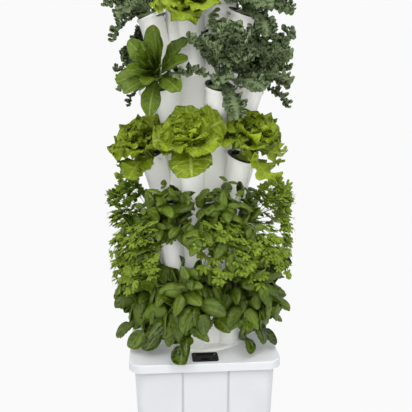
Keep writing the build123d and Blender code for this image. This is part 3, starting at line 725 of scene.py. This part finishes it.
@dataclass
class Plant:
    """One plant of the tower, grown on its seat and dressed in its leaf and stem finishes."""

    name: str
    species: Species
    seat: Seat
    tower: Tower
    sheets: dict[tuple[int, int], LeafSheet]
    posture: Posture

    def __post_init__(self) -> None:
        """Set up the plant's own random draws, its axes and its empty foliage."""
        self.form = FORMS[self.species]
        self.rng = np.random.default_rng(zlib.crc32(self.name.encode()))
        self.axes = self.seat.axes(self.form.tilt + self.posture.lean, self.posture.turn)
        self.foliage = Foliage(rng=self.rng)
        key = (self.form.leaf.columns, self.form.leaf.rows)
        if key not in self.sheets:
            self.sheets[key] = LeafSheet(*key)
        self.sheet = self.sheets[key]

    def grow(self) -> bpy.types.Object:
        """Grow the plant by its habit and turn it into one mesh, with its place in that mesh."""
        habits = {
            Habit.ROSETTE: self.grow_rosette,
            Habit.STEMMED: self.grow_stems,
            Habit.TERNATE: self.grow_ternate,
        }
        habits[self.form.habit]()
        return self.finish()

    def draw(self, ends: tuple[float, float]) -> float:
        """Chance value between two ends."""
        return self.rng.uniform(*ends)

    def vary(self, spread: float) -> float:
        """Chance value from minus a spread to plus that spread."""
        return self.rng.uniform(-spread, spread)

    def root(self) -> Array:
        """Point in the plug that the plant grows from."""
        return self.seat.origin - ROOT_DEPTH * self.axes[2]

    def aim(self, azimuth: float, rise: float) -> tuple[Array, Array]:
        """Direction in the plant's own axes, and the upper face of a leaf that points there.

        Args:
            azimuth: Angle about the plant's axis, in radians from outward.
            rise: Angle above the plant's own level, in degrees.

        Returns:
            The direction and the face.
        """
        out, side, axis = self.axes
        flat = math.cos(azimuth) * out + math.sin(azimuth) * side
        up = math.radians(rise)
        return math.cos(up) * flat + math.sin(up) * axis, math.cos(up) * axis - math.sin(up) * flat

    def grow_rosette(self) -> None:
        """Grow leaves in a spiral from the outer, drooping ones to the inner, upright ones."""
        form = self.form
        foot = self.root()
        root = foot + (form.stem + self.posture.lift) * self.axes[2] + self.posture.climb * UP
        core = np.linspace(foot, root + CROWN_HEIGHT * self.axes[2], 4)
        self.foliage.add_stem(core, *CROWN_RADII, sides=8)
        for number in range(form.count):
            share = number / (form.count - 1)
            azimuth = math.remainder(GOLDEN_ANGLE * number + self.vary(0.25), FULL_TURN)
            back = behind(azimuth)
            rise = between(form.rise, share**0.8) + self.vary(6.0)
            rise = max(rise, back * (form.tilt - BACK_LEAN))
            droop = between(form.droop, share) * (1.0 - BACK_EASE * back)
            size = between(form.size, share) * self.posture.size * self.draw(LEAF_SIZES)
            way, face = self.aim(azimuth, rise + STALK_RISE)
            stalk = Spray(root, way, face, math.radians(STALK_BEND * droop), form.fall)
            line, tangent, _, normal = spine(stalk, form.stalk * size, 4)
            self.foliage.add_stem(line, form.stalk_radius * size, form.stalk_radius * size * STALK_TAPER)
            blade = Spray(
                line[-1], tangent[-1], normal[-1], math.radians(droop) * self.draw(BEND_SHARES), form.fall,
                roll=self.vary(0.30), twist=self.vary(0.35),
            )
            self.foliage.add_leaf(form.leaf, self.sheet, blade, size)

    def grow_stems(self) -> None:
        """Grow leafy stems that carry opposite pairs of leaves, each pair crossing the last."""
        form = self.form
        for number in range(form.count):
            share = number / (form.count - 1)
            fan = (0.5 + number * GOLDEN_SHARE) % 1.0
            azimuth = math.radians(form.spread) * (2.0 * fan - 1.0)
            back = behind(azimuth)
            rise = between(form.rise, share) + self.vary(8.0)
            rise = max(rise, back * BACK_RISE)
            length = form.stalk * self.posture.size * self.draw(STEM_LENGTHS)
            self.grow_stem(azimuth, rise, between(form.droop, share), length, form.pairs)
        for number in range(form.hangers):
            azimuth = number - 0.5 * (form.hangers - 1) + math.radians(self.posture.hang)
            length = HANGER.length * form.stalk
            self.grow_stem(azimuth, self.draw(HANGER_RISES), HANGER.droop, length, 1, HANGER.leaf)
        for _ in range(form.uprights):
            azimuth, length = self.vary(1.5), UPRIGHT.length * form.stalk
            self.grow_stem(azimuth, 90.0 - form.tilt, UPRIGHT.droop, length, form.pairs, UPRIGHT.leaf)
        if self.posture.tall_stem:
            length = TALL.length * self.posture.tall_stem
            self.grow_stem(0.2, 84.0 - form.tilt, TALL.droop, length, form.pairs + 1, TALL.leaf)

    def grow_stem(
        self, azimuth: float, rise: float, droop: float, length: float, pairs: int, scale: float = 1.0
    ) -> None:
        """Grow one leafy stem.

        Args:
            azimuth: Angle about the plant's axis, in radians from outward.
            rise: Angle above the plant's own level, in degrees.
            droop: How far it bends down, in degrees.
            length: Length of the stem.
            pairs: Pairs of leaves below the tip.
            scale: Scale of its leaves.
        """
        form = self.form
        way, face = self.aim(azimuth, rise)
        root = self.root() + ROOT_SPREAD * self.vary(1.0) * self.axes[1]
        levels = 4 * pairs
        spray = Spray(root, way, face, math.radians(droop), STEM_FALL)
        line, tangent, side, normal = spine(spray, length, levels)
        self.foliage.add_stem(line, form.stalk_radius, form.stalk_radius * STEM_TAPER)
        for pair in range(pairs + 1):
            place = (pair + 1.0) / (pairs + 1.0)
            level = round(levels * place)
            swell = math.sin(math.pi * min(1.0, 0.15 + 0.55 * place))
            size = (0.66 + 0.44 * swell) * self.draw(PAIR_SIZES)
            size = size * scale * (form.size[1] if pair == pairs else 1.0)
            turn = pair * math.pi / 2.0 + self.vary(0.35)
            across = math.cos(turn) * side[level] + math.sin(turn) * normal[level]
            for hand in (-1.0, 1.0):
                leaf_way = unit(hand * across + tangent[level] * self.draw(PAIR_LEANS))
                blade = Spray(
                    line[level] + 0.003 * size * leaf_way, leaf_way, tangent[level] + 0.8 * UP,
                    self.draw(PAIR_BENDS), form.fall, roll=self.vary(0.4), twist=self.vary(0.3),
                )
                self.foliage.add_leaf(form.leaf, self.sheet, blade, size)

    def grow_ternate(self) -> None:
        """Grow thin stalks that carry small branches of three leaflets towards their ends."""
        form = self.form
        root = self.root()
        for number in range(form.count):
            share = number / (form.count - 1)
            fan = (0.5 + number * GOLDEN_SHARE) % 1.0
            azimuth = math.radians(form.spread) * (fan - 0.5) + self.vary(0.2)
            rise = between(form.rise, share) + 0.3 * between(form.droop, share) + self.vary(10.0)
            length = form.stalk * self.draw(SPRIG_LENGTHS)
            if self.posture.sweep and number % 2:
                azimuth = math.radians(self.posture.sweep) * self.draw(SWEEP_SHARES)
                rise = self.draw(SWEEP_RISES)
                length = form.stalk * self.draw(SWEEP_LENGTHS)
            way, face = self.aim(azimuth, rise)
            droop = math.radians(between(form.droop, share)) * self.draw(BEND_SHARES)
            spray = Spray(root, way, face, droop, form.fall)
            line, tangent, side, normal = spine(spray, length, SPRIG_STEPS)
            self.foliage.add_stem(line, form.stalk_radius, form.stalk_radius * SPRIG_TAPER, sides=4)
            for level, spread in TWIGS:
                branch = tangent[level] + TWIG_SPREAD * spread * side[level]
                branch = branch + self.draw(TWIG_LIFTS) * normal[level]
                self.grow_leaflets(line[level], unit(branch), unit(normal[level] + 0.7 * UP))

    def grow_leaflets(self, place: Array, way: Array, face: Array) -> None:
        """Grow one small branch with a leaflet at its end and one at either side.

        Args:
            place: Point that the branch leaves.
            way: Direction of the branch.
            face: Direction that the leaflets look.
        """
        joint = place + self.draw(TWIG_LENGTHS) * way
        twig = np.stack([place, (place + joint) / 2.0, joint])
        self.foliage.add_stem(twig, *TWIG_RADII, sides=4)
        across = unit(np.cross(face, way))
        for spread in (0.0, -1.0, 1.0):
            leaf_way = unit(way + spread * across + self.draw(LEAFLET_LIFTS) * face)
            spray = Spray(joint, leaf_way, face, self.draw(LEAFLET_BENDS), roll=self.vary(0.6))
            size = self.draw(self.form.size)
            self.foliage.add_fan(self.form.leaf, self.sheet, spray, size)

    def finish(self) -> bpy.types.Object:
        """Turn the gathered leaves and stems into one mesh with its finishes.

        Returns:
            The plant's object.
        """
        foliage, finish = self.foliage, FINISHES[self.species]
        leaves = foliage.blades.mesh(self.name, self.tower)
        for title, parts in foliage.layers.items():
            layer = leaves.data.attributes.new(title, "FLOAT", "POINT")
            layer.data.foreach_set("value", np.concatenate(parts).astype(np.float32))
        for material in (finish.top(), finish.under(), finish.stem()):
            leaves.data.materials.append(material)
        select_only(leaves)
        skin = leaves.modifiers.new("blade thickness", "SOLIDIFY")
        skin.thickness = self.form.thickness
        skin.offset = 0.0
        skin.material_offset = 1
        bpy.ops.object.modifier_apply(modifier=skin.name)
        stems = foliage.stems.mesh(self.name + "_stems", self.tower)
        stems.data.materials.append(finish.stem())
        select_only(leaves, stems)
        bpy.ops.object.join()
        bpy.ops.object.shade_smooth()
        return leaves


@dataclass
class NodeKit:
    """Short ways to add nodes to one tree."""

    tree: bpy.types.NodeTree

    def plug(self, node: bpy.types.Node, values: dict[str | int, Value]) -> None:
        """Link inputs of a node to other sockets, or set their plain values.

        Args:
            node: The node.
            values: What each input gets, by the input's name or number.
        """
        for title, value in values.items():
            if isinstance(value, Socket):
                self.tree.links.new(value, node.inputs[title])
            else:
                node.inputs[title].default_value = value

    def add(self, kind: str, values: dict[str | int, Value], out: str | int = 0, **options: str) -> Socket:
        """Add a node.

        Args:
            kind: Kind of the node.
            values: What each input gets, by the input's name or number.
            out: Name or number of the wanted output.
            **options: Settings of the node itself.

        Returns:
            The wanted output.
        """
        node = self.tree.nodes.new(kind)
        for title, option in options.items():
            setattr(node, title, option)
        self.plug(node, values)
        return node.outputs[out]

    def attribute(self, name: str) -> Socket:
        """Value of a named point attribute."""
        return self.add("ShaderNodeAttribute", {}, "Fac", attribute_type="GEOMETRY", attribute_name=name)

    def axes(self, kind: str) -> Sockets:
        """The X, Y and Z of one kind of coordinates."""
        place = self.add("ShaderNodeTexCoord", {}, kind)
        return self.add("ShaderNodeSeparateXYZ", {"Vector": place}).node.outputs

    def math(self, operation: str, *values: Value) -> Socket:
        """Result of one math operation on sockets or numbers."""
        return self.add("ShaderNodeMath", dict(enumerate(values)), operation=operation)

    def ramp(self, value: Value, low: float, high: float, start: float, end: float) -> Socket:
        """Smooth step of a value from one range to another."""
        values = {"Value": value, "From Min": low, "From Max": high, "To Min": start, "To Max": end}
        return self.add("ShaderNodeMapRange", values, "Result", interpolation_type="SMOOTHSTEP")

    def uneven(self, patch: Socket, mean: float, spread: float) -> Socket:
        """Value that wanders about its mean with soft patches."""
        return self.ramp(patch, *PATCH_ENDS, mean - spread, mean + spread)

    def mix(self, share: Value, first: Value, second: Value) -> Socket:
        """Mix of two colours."""
        return self.add("ShaderNodeMix", {0: share, 6: first, 7: second}, 2, data_type="RGBA")

    def bump(self, height: Value, strength: float, distance: float, **under: Value) -> Socket:
        """Normal of a bump from a height, on top of another Normal where one is given."""
        values = {"Strength": strength, "Distance": distance, "Height": height, **under}
        return self.add("ShaderNodeBump", values, "Normal")

    def group(self, tree: bpy.types.NodeTree, **values: float) -> Sockets:
        """Outputs of a shared group, placed with its own values."""
        titled = {title.replace("_", " "): number for title, number in values.items()}
        node = self.add("ShaderNodeGroup", {}, node_tree=tree).node
        self.plug(node, titled)
        return node.outputs


class NodeGroups:
    """Shader node groups that several finishes share, each built once."""

    @staticmethod
    def start(
        name: str, inputs: tuple[str, ...], outputs: tuple[str, ...]
    ) -> tuple[NodeKit, Sockets, bpy.types.Node]:
        """Start a group whose sockets are all numbers.

        Args:
            name: Name of the group.
            inputs: Names of its inputs.
            outputs: Names of its outputs.

        Returns:
            A kit for its nodes, what it is given, and the node that takes its results.
        """
        tree = bpy.data.node_groups.new(name, "ShaderNodeTree")
        for way, titles in (("INPUT", inputs), ("OUTPUT", outputs)):
            for title in titles:
                tree.interface.new_socket(title, in_out=way, socket_type="NodeSocketFloat")
        given = tree.nodes.new("NodeGroupInput")
        return NodeKit(tree), given.outputs, tree.nodes.new("NodeGroupOutput")

    @staticmethod
    @cache
    def vein_mask() -> bpy.types.NodeTree:
        """Group that marks a leaf's midrib and side veins.

        Returns:
            The group, with inputs Veins and Slant and outputs Midrib, Vein and Edge.
        """
        kit, given, result = NodeGroups.start("vein_mask", ("Veins", "Slant"), ("Midrib", "Vein", "Edge"))
        edge = kit.math("ABSOLUTE", kit.attribute("across"))
        ladder = kit.math("MULTIPLY", kit.attribute("along"), given["Veins"])
        ladder = kit.math("SUBTRACT", ladder, kit.math("MULTIPLY", edge, given["Slant"]))
        saw = kit.math("ABSOLUTE", kit.math("SUBTRACT", kit.math("FRACT", ladder), 0.5))
        midrib = kit.ramp(edge, 0.02, 0.12, 1.0, 0.0)
        vein = kit.ramp(saw, 0.40, 0.50, 0.0, 1.0)
        kit.plug(result, {"Midrib": midrib, "Vein": vein, "Edge": edge})
        return kit.tree

    @staticmethod
    @cache
    def mottle() -> bpy.types.NodeTree:
        """Group of soft patches and fine grain over a surface.

        Returns:
            The group, with inputs Patch Scale and Grain Scale, per metre, and outputs Patch and Grain.
        """
        kit, given, result = NodeGroups.start("mottle", ("Patch Scale", "Grain Scale"), ("Patch", "Grain"))
        place = kit.add("ShaderNodeTexCoord", {}, "Object")
        for title, detail in (("Patch", 3.0), ("Grain", 1.0)):
            values = {"Detail": detail, "Vector": place, "Scale": given[title + " Scale"]}
            kit.plug(result, {title: kit.add("ShaderNodeTexNoise", values, "Fac")})
        return kit.tree


def new_material(name: str) -> tuple[bpy.types.Material, NodeKit, bpy.types.Node]:
    """Make an empty node material with its surface shader.

    Args:
        name: Name of the material.

    Returns:
        The material, a kit for its nodes and its shader.
    """
    material = bpy.data.materials.new(name)
    material.use_nodes = True
    tree = material.node_tree
    return material, NodeKit(tree), tree.nodes["Principled BSDF"]


@dataclass(frozen=True)
class LeafFinish:
    """Finish of one species' leaves: colours are linear, veins are counted along the blade."""

    name: str
    deep: Colour
    fresh: Colour
    vein: Colour
    pale: Colour
    stalk: Colour
    roughness: float
    veins: float
    slant: float = 1.3
    midrib: float = 0.6
    side_vein: float = 0.25
    # edge: painted light, a tone shift towards the margins; above 0 paints highlights on the margins, below
    # 0 paints shade there
    edge: float = 0.0
    # painted light and shade of fine crinkles: how strongly the grain lightens and darkens the colour
    crinkle_shading: float = 0.0
    crinkle_scale: float = 900.0
    relief: float = 0.0006
    sheen: float = 0.24
    fade: float = 1.0
    patch_scale: float = 55.0
    leaf_tone: float = 0.75
    patch_tone: float = 0.25
    rough_spread: float = 0.08
    grain_share: float = 0.4

    def top(self) -> bpy.types.Material:
        """Finish of the upper side."""
        return self.blade(self.name + "_leaf_top", self.deep, self.fresh, self.roughness)

    def under(self) -> bpy.types.Material:
        """Finish of the paler, duller underside."""
        deep = tuple(between(ends, self.fade) for ends in zip(self.deep, self.fresh))
        fresh = tuple(between(ends, self.fade) for ends in zip(self.fresh, self.pale))
        roughness = min(0.75, self.roughness + 0.2 * self.fade)
        return self.blade(self.name + "_leaf_under", deep, fresh, roughness)

    @cache
    def blade(self, name: str, deep: Colour, fresh: Colour, roughness: float) -> bpy.types.Material:
        """Blade finish with veins, a colour for each leaf, soft patches, and painted light and shade
        towards the margins and over fine crinkles.

        Args:
            name: Name of the material.
            deep: Darker colour.
            fresh: Lighter colour.
            roughness: Mean roughness.

        Returns:
            The material, made once.
        """
        material, kit, shader = new_material(name)
        veins = kit.group(NodeGroups.vein_mask(), Veins=self.veins, Slant=self.slant)
        scales = {"Patch_Scale": self.patch_scale, "Grain_Scale": self.crinkle_scale}
        mottle = kit.group(NodeGroups.mottle(), **scales)
        tone = kit.math("MULTIPLY", kit.attribute("tone"), self.leaf_tone)
        tone = kit.math("ADD", tone, kit.uneven(mottle["Patch"], 0.0, self.patch_tone))
        # painted light and shade: the margins lighter or darker by edge
        tone = kit.math("ADD", tone, kit.math("MULTIPLY", veins["Edge"], self.edge))
        # painted light and shade: the grain lightens and darkens the colour as fine crinkles would
        painted_crinkle_shading = kit.math("MULTIPLY", kit.math("SUBTRACT", mottle["Grain"], 0.5), self.crinkle_shading)
        tone = kit.math("ADD", tone, painted_crinkle_shading)
        tone = kit.ramp(tone, 0.6 * self.edge - 0.15, 0.9 + 0.5 * self.edge, 0.0, 1.0)
        side = kit.math("MULTIPLY", veins["Vein"], self.side_vein)
        rib = kit.math("MULTIPLY", veins["Midrib"], self.midrib)
        grain = kit.math("MULTIPLY", mottle["Grain"], self.grain_share)
        relief = kit.math("SUBTRACT", grain, veins["Vein"])
        kit.plug(shader, {
            "Base Color": kit.mix(kit.math("MAXIMUM", side, rib), kit.mix(tone, deep, fresh), self.vein),
            "Roughness": kit.uneven(mottle["Patch"], roughness, self.rough_spread),
            "Specular IOR Level": self.sheen,
            "Normal": kit.bump(relief, 0.5, self.relief),
        })
        return material

    @cache
    def stem(self) -> bpy.types.Material:
        """Finish of the stalks and stems."""
        material, kit, shader = new_material(self.name + "_stem")
        mottle = kit.group(NodeGroups.mottle(), Patch_Scale=90.0, Grain_Scale=1200.0)
        kit.plug(shader, {
            "Base Color": kit.mix(mottle["Patch"], self.stalk, self.fresh),
            "Roughness": kit.ramp(mottle["Patch"], *PATCH_ENDS, 0.4, 0.55),
            "Normal": kit.bump(mottle["Grain"], 0.2, 0.0004),
        })
        return material


FINISHES: dict[Species, LeafFinish] = {
    Species.KALE: LeafFinish(
        "kale", (0.009, 0.019, 0.004, 1), (0.185, 0.245, 0.110, 1), (0.20, 0.27, 0.12, 1),
        (0.16, 0.21, 0.10, 1), (0.16, 0.22, 0.08, 1), 0.50, 9.0, midrib=0.3, side_vein=0.0, edge=0.55,
        crinkle_shading=3.0, crinkle_scale=150.0, relief=0.004,
    ),
    Species.ROMAINE: LeafFinish(
        "romaine", (0.018, 0.040, 0.001, 1), (0.115, 0.180, 0.008, 1), (0.28, 0.37, 0.08, 1),
        (0.13, 0.19, 0.02, 1), (0.36, 0.44, 0.18, 1), 0.34, 8.0, side_vein=0.30, edge=-0.25, fade=0.35,
    ),
    Species.LETTUCE: LeafFinish(
        "lettuce", (0.050, 0.092, 0.001, 1), (0.285, 0.380, 0.010, 1), (0.40, 0.50, 0.07, 1),
        (0.24, 0.32, 0.02, 1), (0.46, 0.54, 0.20, 1), 0.40, 6.0, side_vein=0.45, edge=0.1, crinkle_shading=1.3,
        crinkle_scale=130.0, relief=0.0015, fade=0.55,
    ),
    Species.BUTTERHEAD: LeafFinish(
        "butterhead", (0.055, 0.100, 0.001, 1), (0.280, 0.370, 0.010, 1), (0.46, 0.56, 0.10, 1),
        (0.27, 0.36, 0.02, 1), (0.48, 0.56, 0.22, 1), 0.40, 8.0, side_vein=0.60, edge=-0.1, crinkle_shading=1.4,
        crinkle_scale=130.0, relief=0.0015, fade=0.4,
    ),
    Species.BASIL: LeafFinish(
        "basil", (0.014, 0.032, 0.001, 1), (0.150, 0.225, 0.012, 1), (0.18, 0.26, 0.035, 1),
        (0.13, 0.19, 0.02, 1), (0.17, 0.24, 0.05, 1), 0.30, 4.0, side_vein=0.45, edge=-0.30,
        sheen=0.34, fade=0.3,
    ),
    Species.TRAILING_BASIL: LeafFinish(
        "trailing_basil", (0.014, 0.032, 0.001, 1), (0.125, 0.190, 0.011, 1), (0.170, 0.240, 0.035, 1),
        (0.12, 0.18, 0.015, 1), (0.16, 0.22, 0.05, 1), 0.30, 5.0, side_vein=0.50, edge=-0.28,
        sheen=0.34, fade=0.3,
    ),
    Species.PARSLEY: LeafFinish(
        "parsley", (0.034, 0.072, 0.002, 1), (0.205, 0.305, 0.024, 1), (0.25, 0.34, 0.06, 1),
        (0.20, 0.28, 0.02, 1), (0.20, 0.28, 0.04, 1), 0.46, 2.0,
    ),
}


@dataclass(frozen=True)
class MouldedFinish:
    """Finish of a moulded, foamed or drawn part: linear colours and a fine surface grain."""

    name: str
    base: Colour
    shade: Colour
    roughness: float
    patch: float = 9.0
    grain: float = 700.0
    relief: float = 0.12
    metallic: float = 0.0
    sheen: float = 0.5
    shade_ends: tuple[float, float] = (0.35, 0.75)
    rough_spread: float = 0.05
    grain_depth: float = 0.0005
    panel: float = 0.0
    panel_depth: float = 0.004
    panel_top: float = 0.356
    panel_round: float = 0.006
    top_round: float = 0.004
    # painted shade: a darker colour painted along the panel step, where the recess falls into shade
    painted_step_shade_share: float = 0.55
    painted_step_shade: Colour = (0.40, 0.41, 0.42, 1)

    def panel_edge(self, kit: NodeKit) -> tuple[bpy.types.NodeSocket, bpy.types.NodeSocket]:
        """Rounded step and a line of painted shade at the upright edges of the panels in the sides.

        Args:
            kit: Kit for the material's nodes.

        Returns:
            The height of the step and the share of painted shade.
        """
        axes = kit.axes("Object")
        across = kit.math("MINIMUM", *(kit.math("ABSOLUTE", axes[axis]) for axis in "XY"))
        top = (self.panel_top - self.top_round, self.panel_top + self.top_round)
        below = kit.ramp(axes["Z"], *top, 1.0, 0.0)
        away = kit.math("ABSOLUTE", kit.math("SUBTRACT", across, self.panel))
        step = kit.ramp(across, self.panel - self.panel_round, self.panel + self.panel_round, 0.0, 1.0)
        painted_step_shade = kit.ramp(away, 0.0, self.panel_round, self.painted_step_shade_share, 0.0)
        return kit.math("MULTIPLY", step, below), kit.math("MULTIPLY", painted_step_shade, below)

    @cache
    def make(self) -> bpy.types.Material:
        """Make the material, once."""
        material, kit, shader = new_material(self.name)
        mottle = kit.group(NodeGroups.mottle(), Patch_Scale=self.patch, Grain_Scale=self.grain)
        colour = kit.mix(kit.ramp(mottle["Patch"], *self.shade_ends, 0.0, 1.0), self.base, self.shade)
        normal = kit.bump(mottle["Grain"], self.relief, self.grain_depth)
        if self.panel:
            step, painted_step_shade = self.panel_edge(kit)
            # painted shade: darken the colour along the panel step
            colour = kit.mix(painted_step_shade, colour, self.painted_step_shade)
            normal = kit.bump(step, 1.0, self.panel_depth, Normal=normal)
        kit.plug(shader, {
            "Base Color": colour,
            "Roughness": kit.uneven(mottle["Patch"], self.roughness, self.rough_spread),
            "Normal": normal,
            "Metallic": self.metallic,
            "Specular IOR Level": self.sheen,
        })
        return material


MOULDED: dict[str, MouldedFinish] = {
    "white_plastic": MouldedFinish("tower_white", (0.90, 0.90, 0.87, 1), (0.86, 0.86, 0.83, 1), 0.42),
    "tank_plastic": MouldedFinish(
        "tank_white", (0.67, 0.685, 0.70, 1), (0.64, 0.655, 0.67, 1), 0.46, panel=0.068
    ),
    "cup_plastic": MouldedFinish("cup_black", (0.012, 0.012, 0.012, 1), (0.02, 0.02, 0.02, 1), 0.5),
    "plug_foam": MouldedFinish(
        "plug_sponge", (0.05, 0.035, 0.02, 1), (0.12, 0.085, 0.05, 1), 0.9, patch=160.0, relief=0.8
    ),
    "port_plastic": MouldedFinish(
        "port_black", (0.003, 0.004, 0.0037, 1), (0.005, 0.0065, 0.006, 1), 0.42, sheen=0.10
    ),
    "black_rubber": MouldedFinish("foot_rubber", (0.02, 0.02, 0.02, 1), (0.03, 0.03, 0.03, 1), 0.8),
    "pin_steel": MouldedFinish("drawn_steel", (0.6, 0.6, 0.6, 1), (0.5, 0.5, 0.5, 1), 0.3, metallic=1.0),
    "shaft_ceramic": MouldedFinish("fired_ceramic", (0.8, 0.78, 0.74, 1), (0.74, 0.72, 0.68, 1), 0.3),
    "impeller_plastic": MouldedFinish("impeller_white", (0.75, 0.75, 0.75, 1), (0.7, 0.7, 0.7, 1), 0.4),
    "pipe_plastic": MouldedFinish("pipe_grey", (0.62, 0.64, 0.65, 1), (0.57, 0.59, 0.6, 1), 0.4),
    "pump_plastic": MouldedFinish("pump_black", (0.02, 0.02, 0.022, 1), (0.03, 0.03, 0.033, 1), 0.45),
}


@dataclass
class Planting:
    """All the plants of the tower: which node each one stands for."""

    tower: Tower
    species_rows: tuple[tuple[Species, ...], ...] = (
        (Species.TRAILING_BASIL,) * 6,
        (Species.BASIL, Species.BASIL, Species.PARSLEY) * 2,
        (Species.LETTUCE, Species.BUTTERHEAD, Species.LETTUCE) * 2,
        (Species.ROMAINE, Species.KALE, Species.KALE) * 2,
        (Species.KALE, Species.LETTUCE, Species.KALE) * 2,
    )
    named: tuple[tuple[str, ...], ...] = (
        ("left", "front", "right", "", "", ""),
        ("front_left", "front_right", "right", "", "", "left"),
    )
    sheets: dict[tuple[int, int], LeafSheet] = field(default_factory=dict)

    def build(self) -> None:
        """Grow every plant, tier by tier, and set it in its node's place."""
        for tier, row in enumerate(self.species_rows):
            for pocket, species in enumerate(row):
                spot = self.named[tier % 2][pocket]
                node = f"{species.value}_tier_{tier + 1}_{spot}" if spot else f"rear_plants_tier_{tier + 1}"
                name = f"{species.value}_plant_{tier + 1}_{pocket + 1}"
                seat = self.tower.seat(tier, pocket)
                posture = POSTURES.get(node, Posture())
                plant = Plant(name, species, seat, self.tower, self.sheets, posture)
                piece = plant.grow()
                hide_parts(node)
                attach(piece, "tower")
                log.info("%s: %d faces, stands for %s", name, len(piece.data.polygons), node)


class Hardware:
    """The moulded pieces that keep their own meshes."""

    def dress(self) -> None:
        """Give each piece the finish of its material slot."""
        for row in frame["record"]["subparts"]:
            finish = MOULDED.get(row["material_slot"])
            if finish is None:
                continue
            for slot in frame["nodes"][row["node"]].material_slots:
                slot.material = finish.make()
            log.info("%s: %s", row["node"], finish.name)


@dataclass
class Studio:
    """Plain pale floor, soft light and a camera at the photograph's viewing angle."""

    lid_top: float
    azimuth: float = -4.0
    distance: float = 1.852
    height: float = 0.757
    pitch: float = 10.1
    yaw: float = -0.53
    lens: float = 52.0
    sensor: float = 36.0
    backdrop: float = 0.955
    floor_glow: float = 0.98
    ambient: float = 0.78
    low_share: float = 0.75
    high_share: float = 1.7
    sky_ends: tuple[float, float] = (-0.2, 1.0)
    side_light: float = 0.30
    side_ends: tuple[float, float] = (0.35, 0.95)
    floor_size: float = 12.0
    aim_height: float = 0.9

    def build(self) -> None:
        """Set up the floor, the world, the lamps and the camera."""
        self.add_floor()
        self.add_world()
        self.add_lamp("key", (-1.4, -2.4, 2.4), 0.9, 22.0)
        self.add_lamp("fill", (2.0, -2.3, 1.4), 1.6, 8.0)
        self.add_lamp("top", (0.3, -1.9, 3.0), 1.0, 20.0)
        self.add_lamp("lid_lift", (0.0, -1.0, 3.2), 1.5, 20.0, only="reservoir_lid")
        self.add_lamp("tower_lift", (0.2, -2.6, 1.9), 1.5, 24.0, only="tower_")
        self.add_camera()

    def add_floor(self) -> None:
        """Add the plain pale floor under the feet."""
        bpy.ops.object.select_all(action="DESELECT")
        bpy.ops.mesh.primitive_plane_add(size=self.floor_size, location=(0.0, 0.0, 0.0))
        floor = bpy.context.object
        floor.name = "studio_floor"
        material, kit, shader = new_material("floor_paper")
        mottle = kit.group(NodeGroups.mottle(), Patch_Scale=2.0, Grain_Scale=300.0)
        tint = kit.mix(mottle["Patch"], (0.86, 0.86, 0.86, 1), (0.90, 0.90, 0.90, 1))
        kit.plug(shader, {"Base Color": tint, "Roughness": 0.9})
        seen = kit.add("ShaderNodeLightPath", {}, "Is Camera Ray")
        share = kit.math("MULTIPLY", seen, self.floor_glow)
        glow = kit.add("ShaderNodeEmission", {"Strength": self.backdrop})
        blend = kit.add("ShaderNodeMixShader", {"Fac": share, 1: shader.outputs["BSDF"], 2: glow})
        kit.plug(kit.tree.nodes["Material Output"], {"Surface": blend})
        floor.data.materials.append(material)

    def add_world(self) -> None:
        """Light the scene softly, more from above than from the sides, before a pale backdrop."""
        world = bpy.data.worlds.new("studio")
        bpy.context.scene.world = world
        world.use_nodes = True
        kit = NodeKit(world.node_tree)
        seen = kit.add("ShaderNodeLightPath", {}, "Is Camera Ray")
        axes = kit.axes("Generated")
        low, high = self.low_share * self.ambient, self.high_share * self.ambient
        above = kit.ramp(axes["Z"], *self.sky_ends, low, high)
        beside = kit.ramp(kit.math("ABSOLUTE", axes["X"]), *self.side_ends, 1.0, self.side_light)
        light = kit.math("MULTIPLY", kit.math("MULTIPLY", above, beside), kit.math("SUBTRACT", 1.0, seen))
        strength = kit.math("ADD", light, kit.math("MULTIPLY", seen, self.backdrop))
        white = (1.0, 1.0, 1.0, 1.0)
        kit.plug(kit.tree.nodes["Background"], {"Color": white, "Strength": strength})

    def add_lamp(
        self, name: str, place: tuple[float, float, float], size: float, power: float, only: str = ""
    ) -> None:
        """Add one large soft lamp aimed at the tower.

        Args:
            name: Name of the lamp.
            place: Where it stands.
            size: Side of its square.
            power: Power in watts.
            only: Start of the names of the nodes that it lights, without shadows, or "" for everything.
        """
        lamp = bpy.data.lights.new(name, "AREA")
        lamp.size = size
        lamp.energy = power
        lamp.use_shadow = not only
        holder = bpy.data.objects.new(name, lamp)
        holder.location = place
        if only:
            lit = bpy.data.collections.new(name)
            for node, piece in frame["nodes"].items():
                if node.startswith(only):
                    lit.objects.link(piece)
            holder.light_linking.receiver_collection = lit
        aim = Vector((0.0, 0.0, self.aim_height)) - Vector(place)
        holder.rotation_euler = aim.to_track_quat("-Z", "Y").to_euler()
        bpy.context.scene.collection.objects.link(holder)

    def add_camera(self) -> None:
        """Stand the camera where the photograph was taken from."""
        camera = bpy.data.cameras.new("camera")
        camera.lens = self.lens
        camera.sensor_width = self.sensor
        camera.clip_end = 50.0
        holder = bpy.data.objects.new("camera", camera)
        turn = math.radians(self.azimuth)
        holder.location = (
            self.distance * math.sin(turn), -self.distance * math.cos(turn), self.lid_top + self.height
        )
        holder.rotation_euler = (
            math.radians(90.0 - self.pitch), 0.0, math.radians(self.azimuth + self.yaw)
        )
        bpy.context.scene.collection.objects.link(holder)
        bpy.context.scene.camera = holder


def main() -> None:
    """Dress the hardware, grow the plants and set up the studio."""
    logging.basicConfig(level=logging.INFO, format="%(message)s")
    bpy.context.scene.view_settings.view_transform = "Standard"
    tower = Tower()
    Hardware().dress()
    Planting(tower).build()
    Studio(tower.lid_top).build()


if __name__ == "__main__":
    main()
